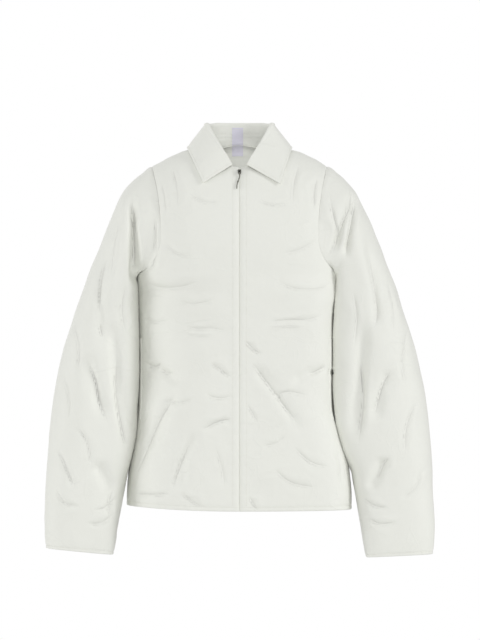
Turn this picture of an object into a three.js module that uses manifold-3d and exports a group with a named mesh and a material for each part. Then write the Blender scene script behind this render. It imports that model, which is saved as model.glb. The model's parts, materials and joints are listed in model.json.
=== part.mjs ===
// A short padded jacket with a turned-down collar and a full-length front zip, filled out as
// when it is worn. Millimetres, +Z up. The front faces -Y and +X is the wearer's left.
// The origin is where the wearer's neck and shoulders carry it, level with the neck seam.
import * as THREE from "three";
import Module from "manifold-3d";
import { mergeVertices } from "three/addons/utils/BufferGeometryUtils.js";

const wasm = await Module();
wasm.setup();

// Driving dimensions
const WALL = 4; // shell, wadding and lining together
const SEAM_GAP = 0.3;
const UNDERARM_Z = -238;
const SHOULDER_X = 166; // top of the armhole
const SHOULDER_Y = 5; // the shoulder seam lies this far behind the origin
const NECK_X = 72; // half width of the neck seam
const FRONT_NECK = 98; // from the shoulder seam line forward to the front of the neck
const BACK_NECK = 53;
const NECK_TOP = 8; // height of the neck seam at the shoulder
const NAPE_RISE = 18; // how much higher the back stands at its middle
const TORSO_POWER = 2.6; // how boxy a level section of the torso is
const SHOULDER_POWER = 2.4; // how round the torso closes over the shoulder
const SLEEVE_POWER = 2.25;
const SLEEVE_CLEARANCE = 2.6; // between the torso's side and the sleeve beside it
const FRONT_EDGE_X = 1.3; // each front edge stops this far from the middle of the zip

// Torso sections from the hem up: half widths on the wearer's right and left, and depths
const TORSO = [
  { z: -684, right: 215, left: 214, front: 149, back: 138 },
  { z: -640, right: 214, left: 213, front: 151, back: 140 },
  { z: -590, right: 209, left: 207, front: 153, back: 142 },
  { z: -540, right: 200, left: 192, front: 154, back: 143 },
  { z: -490, right: 196, left: 181, front: 154, back: 143 },
  { z: -400, right: 194, left: 179, front: 153, back: 143 },
  { z: -300, right: 196, left: 182, front: 152, back: 143 },
  { z: -238, right: 197, left: 197, front: 150, back: 142 },
];

// The armhole seam: how far from the middle it lies on the front and on the back, by height
const ARMHOLE = [
  { z: -238, front: 197, back: 197 },
  { z: -225, front: 176, back: 186 },
  { z: -209, front: 162, back: 176 },
  { z: -190, front: 153, back: 169 },
  { z: -165, front: 149, back: 163 },
  { z: -120, front: 151, back: 161 },
  { z: -80, front: 156, back: 162 },
  { z: -50, front: 162, back: 165 },
  { z: -30, front: 166, back: 166 },
];

// Sleeve rings from the armhole to the cuff: where each ring's outer and inner edge lie seen
// from the front, half its depth, and how far its middle leans forward
const SLEEVE = [
  { ring: 0, outX: 166, outZ: -30, inX: 197, inZ: -238, deep: 100, forward: 0 },
  { ring: 1, outX: 195, outZ: -45, inX: 199, inZ: -245, deep: 101, forward: 0 },
  { ring: 2, outX: 221, outZ: -76, inX: 199, inZ: -252, deep: 100, forward: 0 },
  { ring: 3, outX: 241, outZ: -118, inX: 198, inZ: -260, deep: 99, forward: 1 },
  { ring: 4, outX: 257, outZ: -157, inX: 196, inZ: -270, deep: 98, forward: 2 },
  { ring: 5, outX: 275, outZ: -205, inX: 190, inZ: -284, deep: 97, forward: 4 },
  { ring: 6, outX: 293, outZ: -250, inX: 186, inZ: -306, deep: 95, forward: 6 },
  { ring: 7, outX: 312, outZ: -305, inX: 184, inZ: -340, deep: 93, forward: 9 },
  { ring: 8, outX: 332, outZ: -370, inX: 182, inZ: -387, deep: 91, forward: 13 },
  { ring: 9, outX: 346, outZ: -430, inX: 183, inZ: -438, deep: 88, forward: 18 },
  { ring: 10, outX: 356, outZ: -490, inX: 186, inZ: -495, deep: 83, forward: 25 },
  { ring: 11, outX: 363, outZ: -560, inX: 202, inZ: -563, deep: 76, forward: 33 },
  { ring: 12, outX: 368, outZ: -635, inX: 217, inZ: -640, deep: 67, forward: 41 },
  { ring: 13, outX: 370, outZ: -695, inX: 229, inZ: -701, deep: 57, forward: 48 },
  { ring: 14, outX: 369, outZ: -734, inX: 236, inZ: -744, deep: 49, forward: 52 },
  { ring: 15, outX: 367, outZ: -756, inX: 240, inZ: -768, deep: 43, forward: 54 },
];

// The largest folds, as troughs seen from the front or back: x and z of their start, middle
// and end, half width and depth. The wearer's right is at negative x.
const FOLDS = [
  { on: "sleeve", face: -1, from: [-200, -80], via: [-204, -150], to: [-203, -212], wide: 14, deep: 13 },
  { on: "sleeve", face: -1, from: [-246, -165], via: [-262, -270], to: [-258, -372], wide: 13, deep: 8 },
  { on: "sleeve", face: -1, from: [-238, -322], via: [-232, -410], to: [-211, -535], wide: 13, deep: 9 },
  { on: "sleeve", face: -1, from: [-294, -380], via: [-276, -440], to: [-252, -512], wide: 14, deep: 6 },
  { on: "sleeve", face: -1, from: [-272, -590], via: [-256, -618], to: [-240, -650], wide: 12, deep: 7 },
  { on: "sleeve", face: -1, from: [216, -88], via: [206, -135], to: [192, -200], wide: 12, deep: 13 },
  { on: "sleeve", face: -1, from: [244, -150], via: [262, -255], to: [264, -345], wide: 13, deep: 8 },
  { on: "sleeve", face: -1, from: [236, -305], via: [228, -430], to: [213, -560], wide: 13, deep: 9 },
  { on: "sleeve", face: -1, from: [291, -408], via: [270, -465], to: [252, -520], wide: 14, deep: 6 },
  { on: "sleeve", face: -1, from: [275, -580], via: [260, -612], to: [244, -648], wide: 12, deep: 7 },
  { on: "sleeve", face: 1, from: [-215, -95], via: [-210, -170], to: [-202, -270], wide: 15, deep: 12 },
  { on: "sleeve", face: 1, from: [-285, -330], via: [-262, -400], to: [-225, -455], wide: 15, deep: 8 },
  { on: "sleeve", face: 1, from: [-330, -480], via: [-290, -520], to: [-240, -540], wide: 14, deep: 7 },
  { on: "sleeve", face: 1, from: [218, -100], via: [211, -170], to: [200, -262], wide: 15, deep: 12 },
  { on: "sleeve", face: 1, from: [292, -345], via: [262, -405], to: [222, -440], wide: 15, deep: 8 },
  { on: "sleeve", face: 1, from: [335, -470], via: [295, -515], to: [238, -530], wide: 14, deep: 7 },
  { on: "torso", face: -1, from: [-176, -404], via: [-150, -418], to: [-106, -442], wide: 10, deep: 5 },
  { on: "torso", face: -1, from: [168, -412], via: [134, -420], to: [94, -444], wide: 10, deep: 5 },
  { on: "torso", face: -1, from: [20, -403], via: [60, -440], to: [124, -548], wide: 12, deep: 5 },
  { on: "torso", face: -1, from: [-116, -450], via: [-155, -530], to: [-176, -572], wide: 12, deep: 5 },
  { on: "torso", face: -1, from: [-78, -530], via: [-102, -585], to: [-118, -652], wide: 11, deep: 5 },
  { on: "torso", face: 1, from: [-150, -205], via: [-120, -290], to: [-112, -400], wide: 16, deep: 8 },
  { on: "torso", face: 1, from: [148, -200], via: [124, -280], to: [120, -380], wide: 16, deep: 8 },
  { on: "torso", face: 1, from: [-165, -470], via: [-90, -500], to: [20, -492], wide: 14, deep: 6 },
  { on: "torso", face: 1, from: [150, -540], via: [90, -570], to: [-10, -600], wide: 14, deep: 6 },
];

// Grid steps
const LOWER_ROWS = 18; // hem to underarm
const ARMHOLE_ROWS = 13; // underarm to shoulder, and half the points of a sleeve ring
const NECK_COLUMNS = 4;
const SIDE_COLUMNS = 8;
const SLEEVE_RINGS = 26;

const clamp = (value, low, high) => Math.min(high, Math.max(low, value));
const mix = (a, b, share) => a + (b - a) * share;
const ease = (value) => {
  const t = clamp(value, 0, 1);
  return t * t * (3 - 2 * t);
};
const signedPower = (value, power) => Math.sign(value) * Math.abs(value) ** power;
const point = (x, y, z) => new THREE.Vector3(x, y, z);

// Reads a column of a table on a smooth curve through its rows.
function read(table, key, column, at) {
  const last = table.length - 1;
  let i = 0;
  while (i < last - 1 && at > table[i + 1][key]) i += 1;
  const slope = (k) => {
    const before = table[Math.max(k - 1, 0)];
    const after = table[Math.min(k + 1, last)];
    return (after[column] - before[column]) / (after[key] - before[key]);
  };
  const [low, high] = [table[i], table[i + 1]];
  const span = high[key] - low[key];
  const t = clamp((at - low[key]) / span, 0, 1);
  return (
    low[column] * (1 + 2 * t) * (1 - t) ** 2 +
    high[column] * t * t * (3 - 2 * t) +
    span * t * (1 - t) * (slope(i) * (1 - t) - slope(i + 1) * t)
  );
}

// The torso's surface. A face is -1 for the front and 1 for the back, a side is -1 for the
// wearer's right and 1 for the left.
const halfWidth = (side, z) =>
  read(TORSO, "z", side < 0 ? "right" : "left", Math.min(z, UNDERARM_Z));

function levelDepth(face, x, z) {
  const across = clamp(Math.abs(x) / halfWidth(Math.sign(x) || 1, z), 0, 1);
  const depth = read(TORSO, "z", face < 0 ? "front" : "back", Math.min(z, UNDERARM_Z));
  return depth * (1 - across ** TORSO_POWER) ** (1 / TORSO_POWER);
}

// The height at which front and back would meet over the shoulder, at a distance from the middle.
function ridgeHeight(face, x) {
  const out = Math.abs(x) - NECK_X;
  if (out >= 0) return NECK_TOP - 0.185 * out - 0.00232 * out * out;
  return NECK_TOP + (face > 0 ? (NAPE_RISE / 2) * (1 + Math.cos((Math.PI * x) / NECK_X)) : 0);
}

// The height of the torso's top, seen from above at x and y.
function torsoTopZ(x, y) {
  const face = y < SHOULDER_Y ? -1 : 1;
  const share = clamp(Math.abs(y - SHOULDER_Y) / levelDepth(face, x, UNDERARM_Z), 0, 1);
  const rise = (1 - share ** SHOULDER_POWER) ** (1 / SHOULDER_POWER);
  return UNDERARM_Z + (ridgeHeight(face, x) - UNDERARM_Z) * rise;
}

// The neck seam, by its angle from the middle of the front or back to the shoulder seam.
function neckPoint(face, angle) {
  const x = NECK_X * Math.sin(angle);
  const c = Math.max(Math.cos(angle), 0);
  const y = SHOULDER_Y + (face < 0 ? -FRONT_NECK * c ** 0.85 : BACK_NECK * c);
  return point(x, y, torsoTopZ(x, y));
}

// How far forward or back the torso's surface is, seen at x and z.
function torsoY(face, x, z) {
  if (z <= UNDERARM_Z) return face * levelDepth(face, x, z);
  const rise = clamp((z - UNDERARM_Z) / (ridgeHeight(face, x) - UNDERARM_Z), 0, 1);
  const left = (1 - rise ** SHOULDER_POWER) ** (1 / SHOULDER_POWER);
  return SHOULDER_Y * ease(rise) + face * levelDepth(face, x, UNDERARM_Z) * left;
}

const hemHeight = (x) => TORSO[0].z + (x < 0 ? 9 : 2) * (x / TORSO[0].right) ** 2;

// The torso at a share across, from the middle to the side, and a share up: 0 the hem, 1 the
// underarm, 2 the neck and shoulder seam. Counted 1 to 2, the height runs round the armhole.
function torsoPoint(face, side, across, up, edgeX = 0) {
  const spread = Math.sin((across * Math.PI) / 2) ** (2 / TORSO_POWER);
  if (up <= 1) {
    const hem = hemHeight(side * halfWidth(side, TORSO[0].z) * spread);
    const z = mix(hem, UNDERARM_Z, up);
    const x = side * mix(edgeX, halfWidth(side, z), spread);
    return point(x, torsoY(face, x, z), z);
  }
  const rise = (1 - Math.cos((up - 1) * Math.PI)) / 2;
  const armhole = mix(UNDERARM_Z, ARMHOLE.at(-1).z, rise);
  const edge = read(ARMHOLE, "z", face < 0 ? "front" : "back", armhole);
  const topX = mix(edgeX, SHOULDER_X, spread);
  const onNeck = topX < NECK_X;
  const topZ = onNeck ? neckPoint(face, Math.asin(topX / NECK_X)).z : ridgeHeight(face, topX);
  const x = side * mix(edgeX, edge, spread);
  const z = mix(UNDERARM_Z, topZ, rise);
  return point(x, torsoY(face, x, z), z);
}

// How far a fold pushes the cloth in at a point seen from the front or back.
function foldDepth(fold, x, z) {
  const legs = [[fold.from, fold.via], [fold.via, fold.to]];
  let nearest = Infinity;
  let along = 0;
  legs.forEach(([a, b], leg) => {
    const [dx, dz] = [b[0] - a[0], b[1] - a[1]];
    const t = clamp(((x - a[0]) * dx + (z - a[1]) * dz) / (dx * dx + dz * dz), 0, 1);
    const off = Math.hypot(x - a[0] - t * dx, z - a[1] - t * dz);
    if (off < nearest) [nearest, along] = [off, (leg + t) / 2];
  });
  const trough = Math.exp(-((nearest / fold.wide) ** 2));
  return fold.deep * trough * ease(4 * along) * ease(4 * (1 - along));
}

const folded = (on, face, x, z) =>
  FOLDS.filter((fold) => fold.on === on && fold.face === face)
    .reduce((sum, fold) => sum + foldDepth(fold, x, z), 0);

// A closed wall from a grid of outer points and their outward normals. A tube's columns close on
// themselves.
function wall(outer, normals, thickness, tube = false) {
  const rows = outer.length;
  const columns = outer[0].length;
  const inner = outer.map((row, j) =>
    row.map((p, i) => p.clone().addScaledVector(normals[j][i], -thickness)));
  const corners = [];
  const quad = (a, b, c, d) => corners.push(a, b, c, a, c, d);
  const acrossEnd = tube ? columns : columns - 1;
  const next = (i) => (i + 1) % columns;
  for (let j = 0; j < rows - 1; j += 1) {
    for (let i = 0; i < acrossEnd; i += 1) {
      quad(outer[j][i], outer[j][next(i)], outer[j + 1][next(i)], outer[j + 1][i]);
      quad(inner[j + 1][i], inner[j + 1][next(i)], inner[j][next(i)], inner[j][i]);
    }
    if (!tube) {
      const end = columns - 1;
      quad(inner[j][0], outer[j][0], outer[j + 1][0], inner[j + 1][0]);
      quad(outer[j][end], inner[j][end], inner[j + 1][end], outer[j + 1][end]);
    }
  }
  for (let i = 0; i < acrossEnd; i += 1) {
    const top = rows - 1;
    quad(inner[0][i], inner[0][next(i)], outer[0][next(i)], outer[0][i]);
    quad(outer[top][i], outer[top][next(i)], inner[top][next(i)], inner[top][i]);
  }
  return facingOut(corners);
}

// A geometry from triangle corners, turned so that it encloses a positive volume.
function facingOut(corners) {
  let volume = 0;
  for (let i = 0; i < corners.length; i += 3) {
    volume += corners[i].dot(corners[i + 1].clone().cross(corners[i + 2]));
  }
  if (volume < 0) {
    for (let i = 0; i < corners.length; i += 3) {
      [corners[i + 1], corners[i + 2]] = [corners[i + 2], corners[i + 1]];
    }
  }
  return new THREE.BufferGeometry().setFromPoints(corners);
}

// Outward normals of a grid, which as a whole point away from an inner line.
function gridNormals(grid, insideOf, tube = false) {
  const columns = grid[0].length;
  let outwards = 0;
  const normals = grid.map((row, j) =>
    row.map((p, i) => {
      const left = tube ? row[(i + columns - 1) % columns] : row[Math.max(i - 1, 0)];
      const right = tube ? row[(i + 1) % columns] : row[Math.min(i + 1, columns - 1)];
      const below = grid[Math.max(j - 1, 0)][i];
      const above = grid[Math.min(j + 1, grid.length - 1)][i];
      const normal = right.clone().sub(left).cross(above.clone().sub(below)).normalize();
      outwards += normal.dot(p.clone().sub(insideOf(p, j)));
      return normal;
    }));
  if (outwards < 0) normals.flat().forEach((normal) => normal.negate());
  return normals;
}

// The rows of a torso panel, from 0 at the hem over 1 at the underarm to 2 at the top
const PANEL_ROWS = [
  ...Array.from({ length: LOWER_ROWS }, (_, j) => j / LOWER_ROWS),
  ...Array.from({ length: ARMHOLE_ROWS + 1 }, (_, j) => 1 + j / ARMHOLE_ROWS),
];

const torsoAxis = (p) => point(p.x * 0.6, 0, Math.min(p.z, UNDERARM_Z));

// One torso panel's outer points and normals between its columns. Its seams keep the side's and
// the shoulder's own direction, so that the walls of two panels meet flat.
function torsoGrid(face, columns, edgeX) {
  const outer = PANEL_ROWS.map((up) =>
    columns.map(({ side, across }) => torsoPoint(face, side, across, up, edgeX)));
  const normals = gridNormals(outer, torsoAxis);
  PANEL_ROWS.forEach((up, j) => {
    columns.forEach(({ side, across }, i) => {
      const p = outer[j][i];
      const onSideSeam = across === 1 && up <= 1;
      const onShoulderSeam = up === 2 && Math.abs(p.x) >= NECK_X - 0.5;
      if (onSideSeam) normals[j][i].set(side, 0, 0);
      if (onShoulderSeam) normals[j][i].set(side * 0.3, 0, 1).normalize();
      const fade = ease(5 * (1 - across)) * ease(8 * (2 - up)) * ease((Math.abs(p.x) - 22) / 25);
      p.addScaledVector(normals[j][i], -fade * folded("torso", face, p.x, p.z));
      if (onSideSeam || onShoulderSeam) p.y += face * SEAM_GAP * 0.6;
    });
  });
  return { outer, normals };
}

// Columns from the middle of a side outwards: even steps round the neck seam to its end, then
// on to the side.
function halfColumns(side, edgeX) {
  const acrossAt = (topX) =>
    (Math.asin(((topX - edgeX) / (SHOULDER_X - edgeX)) ** (TORSO_POWER / 2)) * 2) / Math.PI;
  const neckEnd = acrossAt(NECK_X);
  const columns = [{ side, across: 0 }];
  for (let i = 1; i <= NECK_COLUMNS; i += 1) {
    columns.push({ side, across: acrossAt(NECK_X * Math.sin((i * Math.PI) / 2 / NECK_COLUMNS)) });
  }
  for (let i = 1; i <= SIDE_COLUMNS; i += 1) {
    columns.push({ side, across: mix(neckEnd, 1, i / SIDE_COLUMNS) });
  }
  return columns;
}

const fronts = [-1, 1].map((side) =>
  torsoGrid(-1, halfColumns(side, FRONT_EDGE_X), FRONT_EDGE_X));

const back = torsoGrid(1, [...halfColumns(-1, 0).reverse(), ...halfColumns(1, 0).slice(1)], 0);

// A point of a panel and its normal there, by its place between the panel's rows and columns.
function onPanel({ outer, normals }, row, column) {
  const j = Math.min(Math.floor(row), outer.length - 2);
  const i = Math.min(Math.floor(column), outer[0].length - 2);
  const blend = (grid) =>
    grid[j][i].clone().lerp(grid[j][i + 1], column - i)
      .lerp(grid[j + 1][i].clone().lerp(grid[j + 1][i + 1], column - i), row - j);
  return { p: blend(outer), normal: blend(normals).normalize() };
}

// The row of a panel at which one of its columns reaches a height.
function rowAt({ outer }, z, column = 0) {
  const j = outer.findIndex((row, k) => k > 0 && row[column].z >= z) - 1;
  return j + (z - outer[j][column].z) / (outer[j + 1][column].z - outer[j][column].z);
}

// Every whole row between two rows, with the two themselves.
function rowsBetween(low, high) {
  const rows = [low];
  for (let j = Math.floor(low) + 1; j < high - 0.02; j += 1) rows.push(j);
  return [...rows, high];
}

// A sleeve's surface by ring number and by the angle round it: 0 the top or outer edge, a
// quarter turn the front, half a turn the underarm.
function sleevePoint(side, ring, angle) {
  const at = (column) => read(SLEEVE, "ring", column, ring);
  const inZ = at("inZ");
  const beside = halfWidth(side, inZ) + SLEEVE_CLEARANCE;
  const inX = ring > 0.01 && inZ > -600 ? Math.max(at("inX"), beside) : at("inX");
  const out = point(at("outX"), 0, at("outZ"));
  const into = point(inX, 0, inZ);
  const along = signedPower(Math.cos(angle), 2 / SLEEVE_POWER);
  const front = signedPower(Math.sin(angle), 2 / SLEEVE_POWER);
  const p = into.lerp(out, (1 + along) / 2);
  p.y = -at("forward") - at("deep") * front;
  const seamShare = ease(1 - ring / 2.2);
  if (seamShare > 0) p.lerp(armholePoint(angle), ring === 0 ? 1 : seamShare * 0.8);
  p.x *= side;
  return p;
}

// The armhole seam on the wearer's left, by the angle round it.
function armholePoint(angle) {
  const face = Math.sin(angle) >= 0 ? -1 : 1;
  const rise = (1 + Math.cos(angle)) / 2;
  const z = mix(UNDERARM_Z, ARMHOLE.at(-1).z, rise);
  const x = read(ARMHOLE, "z", face < 0 ? "front" : "back", z);
  const low = 4 * (1 - rise) ** 3; // towards the underarm the seam runs across the side
  return point(x + SEAM_GAP * (4 + low), torsoY(face, x, z), z + SEAM_GAP * low * 1.3);
}

function sleeve(side) {
  const points = 2 * ARMHOLE_ROWS;
  const rings = [];
  for (let j = 0; j <= SLEEVE_RINGS; j += 1) rings.push((j / SLEEVE_RINGS) ** 1.05 * 15);
  const angles = Array.from({ length: points }, (_, i) => (i * 2 * Math.PI) / points);
  const outer = rings.map((ring) => angles.map((angle) => sleevePoint(side, ring, angle)));
  const middles = outer.map((row) =>
    row.reduce((sum, p) => sum.add(p), point(0, 0, 0)).divideScalar(points));
  const normals = gridNormals(outer, (p, j) => middles[j], true);
  rings.forEach((ring, j) => {
    angles.forEach((angle, i) => {
      const p = outer[j][i];
      const face = Math.sin(angle) >= 0 ? -1 : 1;
      const seen = ease(2.2 * Math.abs(Math.sin(angle)));
      const fade = ease(ring / 2) * ease((15 - ring) / 1.5) * seen;
      p.addScaledVector(normals[j][i], -fade * folded("sleeve", face, p.x, p.z));
    });
  });
  return wall(outer, normals, WALL, true);
}

// Collar
const COLLAR_WALL = 3;
const COLLAR_END = (166 / 180) * Math.PI; // from the middle of the back to each front end
const COLLAR_COLUMNS = 14; // on each side
const ROLL_HEIGHT = 53; // top of the collar
const ROLL_RADIUS = 3.4; // of the fold at its top, at the middle of the cloth
const COLLAR_POINT = { x: 76, z: -60 };
const COLLAR_SHOULDER = { x: 100, z: 2 }; // where its edge crosses the shoulder
const FOOT_GAP = 1; // from the neck seam up to the foot of the collar
const COLLAR_LIFT = 3.2; // the middle of its cloth above the torso

const neckSeam = (angle) => {
  const back = angle <= Math.PI / 2;
  return neckPoint(back ? 1 : -1, back ? angle : Math.PI - angle);
};

// The fold at the top of the collar, level behind and falling to the zip in front.
function rollPoint(angle) {
  const x = 64 * Math.sin(angle) ** 0.95;
  const out = x - 14;
  const front = -25 + 1.25 * out + 0.0078 * out * out;
  const behind = ease((1.75 - angle) / 0.35);
  const z = mix(Math.min(front, ROLL_HEIGHT), ROLL_HEIGHT, behind);
  return point(x, -13 + 79 * Math.cos(angle) - 8 * ease((angle - 2.2) / 0.7), z);
}

// The free edge of the collar, which lies just off the torso.
function collarEdgePoint(angle) {
  const shoulder = 1.5;
  if (angle <= shoulder) {
    const turn = (angle / shoulder) * (Math.PI / 2);
    const x = COLLAR_SHOULDER.x * Math.sin(turn);
    const y = SHOULDER_Y + 74 * Math.cos(turn);
    return point(x, y + 2 * Math.cos(turn), torsoTopZ(x, y) + COLLAR_LIFT);
  }
  const down = (angle - shoulder) / (COLLAR_END - shoulder);
  const share = down ** 1.35;
  const x = mix(COLLAR_SHOULDER.x, COLLAR_POINT.x, share);
  const z = mix(COLLAR_SHOULDER.z - 0.6, COLLAR_POINT.z, share);
  return point(x, torsoY(-1, x, z) - COLLAR_LIFT * share - 0.6, z + COLLAR_LIFT * (1 - share));
}

// The middle of the collar's cloth from the neck seam over the fold to the free edge.
function collarLine(angle) {
  const [seam, roll, edge] = [neckSeam(angle), rollPoint(angle), collarEdgePoint(angle)];
  seam.z += FOOT_GAP;
  const outward = point(roll.x, roll.y + 13, 0).normalize();
  const down = mix(1, 0.75, ease((angle - 2) / 0.8));
  const radius = ROLL_RADIUS * down;
  const line = [];
  const foot = roll.clone().addScaledVector(outward, -radius);
  foot.z -= 4 * down ** 3;
  for (let k = 0; k < 4; k += 1) line.push(seam.clone().lerp(foot, k / 3));
  for (const turn of [0.25, 0.5, 0.75]) {
    const p = roll.clone().addScaledVector(outward, -radius * Math.cos(turn * Math.PI));
    p.z += radius * (Math.sin(turn * Math.PI) - 1);
    line.push(p);
  }
  const start = roll.clone().addScaledVector(outward, radius);
  start.z -= 4 * down ** 3;
  for (let k = 0; k <= 5; k += 1) {
    const p = start.clone().lerp(edge, k / 5);
    p.addScaledVector(outward, 3.5 * Math.sin((k / 5) * Math.PI));
    line.push(p);
  }
  return line;
}

function collar() {
  const lines = [];
  for (let i = -COLLAR_COLUMNS; i <= COLLAR_COLUMNS; i += 1) {
    const line = collarLine((Math.abs(i) / COLLAR_COLUMNS) * COLLAR_END);
    line.forEach((p) => { p.x *= Math.sign(i) || 0; });
    lines.push(line);
  }
  const middle = lines[0].map((_, w) => lines.map((line) => line[w]));
  const folds = middle.length;
  const normals = middle.map((row, w) =>
    row.map((p, i) => {
      const sideways = row[Math.min(i + 1, row.length - 1)].clone().sub(row[Math.max(i - 1, 0)]);
      const onward = middle[Math.min(w + 1, folds - 1)][i].clone().sub(middle[Math.max(w - 1, 0)][i]);
      return onward.cross(sideways).normalize();
    }));
  const outer = middle.map((row, w) =>
    row.map((p, i) => p.clone().addScaledVector(normals[w][i], COLLAR_WALL / 2)));
  return wall(outer, normals, COLLAR_WALL);
}

// Zip. The slider, the chain and the box lie behind the gap between the two front edges.
const SLIDER_Z = -43;
const CHAIN_HALF = 2.6;
const CHAIN_DEPTH = 2.6;
const TAPE_IN = 3.1;
const TAPE_OPEN = 5.8; // beside the slider and above it the tapes part
const TAPE_OUT = 17;
const TAPE_WALL = 1;
const BEHIND = WALL + 0.4; // from the outer face of the front to the face of the zip
const BOX = { bottom: TORSO[0].z + 4, top: TORSO[0].z + 16, half: 4.6, depth: 3.8 };
const SLIDER = { half: 4.5, plate: 3.1, back: 4.2, neck: 0.8, skin: 1.3, depth: 3.6 };

const zipRow = (z) => rowAt(fronts[1], z);
const onZip = (row) => onPanel(fronts[1], row, 0);

// A strip along the zip, made from the points of the left front and its mirror image. Its edges
// are given by their distance from the middle of the zip.
function zipStrip(panel, rows, edges, depth, thickness) {
  const cells = rows.map((row) => edges(row).map((x) => {
    const [edge, next] = [onPanel(panel, row, 0).p.x, onPanel(panel, row, 1).p.x];
    const column = Math.max((x - edge) / (next - edge), 0);
    const { p, normal } = onPanel(panel, row, column);
    normal.setX(0).normalize();
    return { p: point(x, p.y, p.z).addScaledVector(normal, -depth), normal };
  }));
  const [outer, normals] = ["p", "normal"].map((key) => cells.map((row) => row.map((c) => c[key])));
  return wall(outer, normals, thickness);
}

function zipTape(side) {
  const parted = zipRow(SLIDER_Z - SLIDER.half - 3);
  const low = zipRow(TORSO[0].z + 4);
  const boxed = zipRow(BOX.top + 1);
  const rows = [...rowsBetween(low, boxed - 0.02), ...rowsBetween(boxed + 0.02, parted - 0.05),
    ...rowsBetween(parted + 0.05, PANEL_ROWS.length - 1.3)];
  const beside = (row) => (row > boxed && row < parted ? TAPE_IN : TAPE_OPEN);
  return zipStrip(fronts[side < 0 ? 0 : 1], rows,
    (row) => [side * beside(row), side * TAPE_OUT], BEHIND, TAPE_WALL);
}

const zipChain = () =>
  zipStrip(fronts[1], rowsBetween(zipRow(BOX.top + 0.5), zipRow(SLIDER_Z - SLIDER.half - 0.6)),
    () => [-CHAIN_HALF, CHAIN_HALF], BEHIND, CHAIN_DEPTH);

// The retaining box at the foot of the zip.
const zipBox = () =>
  zipStrip(fronts[1], rowsBetween(zipRow(BOX.bottom), zipRow(BOX.top)),
    () => [-BOX.half, BOX.half], BEHIND, BOX.depth);

// The slider: plates before and behind the cloth, joined by a neck through the gap, and a lug
// in front with a hole across it. Its own frame has x across, y into the body and z up the zip.
const LUG_HALF = 0.7;
const PIN = { out: 4.4, hole: 1.2, half: 0.65 };
const LUG_TIP = PIN.out + PIN.hole + 0.9;

const merged = (geometry) => {
  const bare = geometry.index ? geometry.toNonIndexed() : geometry.clone();
  bare.deleteAttribute("normal");
  bare.deleteAttribute("uv");
  return mergeVertices(bare, 1e-4);
};

function toSolid(geometry) {
  const { index, attributes } = merged(geometry);
  const triVerts = [];
  for (let i = 0; i < index.count; i += 3) {
    const [a, b, c] = [index.getX(i), index.getX(i + 1), index.getX(i + 2)];
    if (a !== b && b !== c && c !== a) triVerts.push(a, b, c);
  }
  return new wasm.Manifold(new wasm.Mesh({
    numProp: 3,
    vertProperties: new Float32Array(attributes.position.array),
    triVerts: new Uint32Array(triVerts),
  }));
}

function toGeometry(solid) {
  const { vertProperties, triVerts } = solid.getMesh();
  const geometry = new THREE.BufferGeometry();
  geometry.setAttribute("position", new THREE.BufferAttribute(vertProperties, 3));
  geometry.setIndex(new THREE.BufferAttribute(triVerts, 1));
  return geometry;
}

const outline = (corners) => new THREE.Shape(corners.map(([x, y]) => new THREE.Vector2(x, y)));

function slider() {
  const { half, plate, back: rear, neck, skin, depth } = SLIDER;
  const front = -0.5;
  const body = outline([
    [-plate, front], [-neck, front], [-neck, BEHIND], [-rear, BEHIND], [-rear, BEHIND + depth],
    [rear, BEHIND + depth], [rear, BEHIND], [neck, BEHIND], [neck, front], [plate, front],
    [plate, front - skin], [-plate, front - skin],
  ]);
  const plates = new THREE.ExtrudeGeometry(body, { depth: 2 * half, bevelEnabled: false });
  plates.translate(0, 0, -half);
  const lugShape = outline([
    [front - skin / 2, -2.6], [-LUG_TIP, -1.5], [-LUG_TIP, 1.5], [front - skin / 2, 3],
  ]);
  const around = Array.from({ length: 12 }, (_, i) => (i * Math.PI) / 6);
  lugShape.holes.push(outline(around.map((angle) =>
    [PIN.hole * Math.cos(angle) - PIN.out, PIN.hole * Math.sin(angle)])));
  const lug = new THREE.ExtrudeGeometry(lugShape, { depth: 2 * LUG_HALF, bevelEnabled: false });
  // The extrusion's own x and y become the slider's y and z
  lug.translate(0, 0, -LUG_HALF).applyMatrix4(new THREE.Matrix4().makeBasis(
    point(0, 1, 0), point(0, 0, 1), point(1, 0, 0)));
  return toGeometry(toSolid(plates).add(toSolid(lug)));
}

// The pull: a small frame whose top bar lies in the lug's hole. Its origin is that bar.
const PULL = { half: 2.3, inner: 1.1, length: 8, window: 4.6 };

function pullTab() {
  const { half, inner, length, window } = PULL;
  const shape = outline([[-half, PIN.half], [-half, -length], [half, -length], [half, PIN.half]]);
  shape.holes.push(outline([
    [-inner, -PIN.half], [inner, -PIN.half], [inner, -window], [-inner, -window],
  ]));
  const frame = new THREE.ExtrudeGeometry(shape, { depth: 2 * PIN.half, bevelEnabled: false });
  return frame.rotateX(Math.PI / 2).translate(0, PIN.half, 0);
}

// The cord tied to the pull lies down the front, drifting to the wearer's right.
const CORD = { radius: 1, length: 34, gap: 0.9, wave: 0.7, drift: -5 };

function pullCord(top) {
  const route = [];
  for (let k = 0; k <= 12; k += 1) {
    const share = k / 12;
    const z = top.z - share * CORD.length * 0.86;
    const { p, normal } = onZip(zipRow(z));
    const rest = p.clone().addScaledVector(normal.setX(0).normalize(), CORD.radius + 1.1);
    rest.x = CORD.drift * share + CORD.wave * Math.sin(share * 2 * Math.PI);
    route.push(rest.lerp(point(0, top.y, z), 1 - ease(share * 4)));
  }
  const section = new THREE.Shape().absarc(0, 0, CORD.radius, 0, 2 * Math.PI);
  return new THREE.ExtrudeGeometry(section, {
    curveSegments: 4, steps: 12, extrudePath: new THREE.CatmullRomCurve3(route),
  });
}

// Pocket welts, standing in the front just before each side seam.
const WELT = { top: -358, bottom: -512, column: 10, half: 0.2, wall: 1.6, off: 0.6 };

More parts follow.
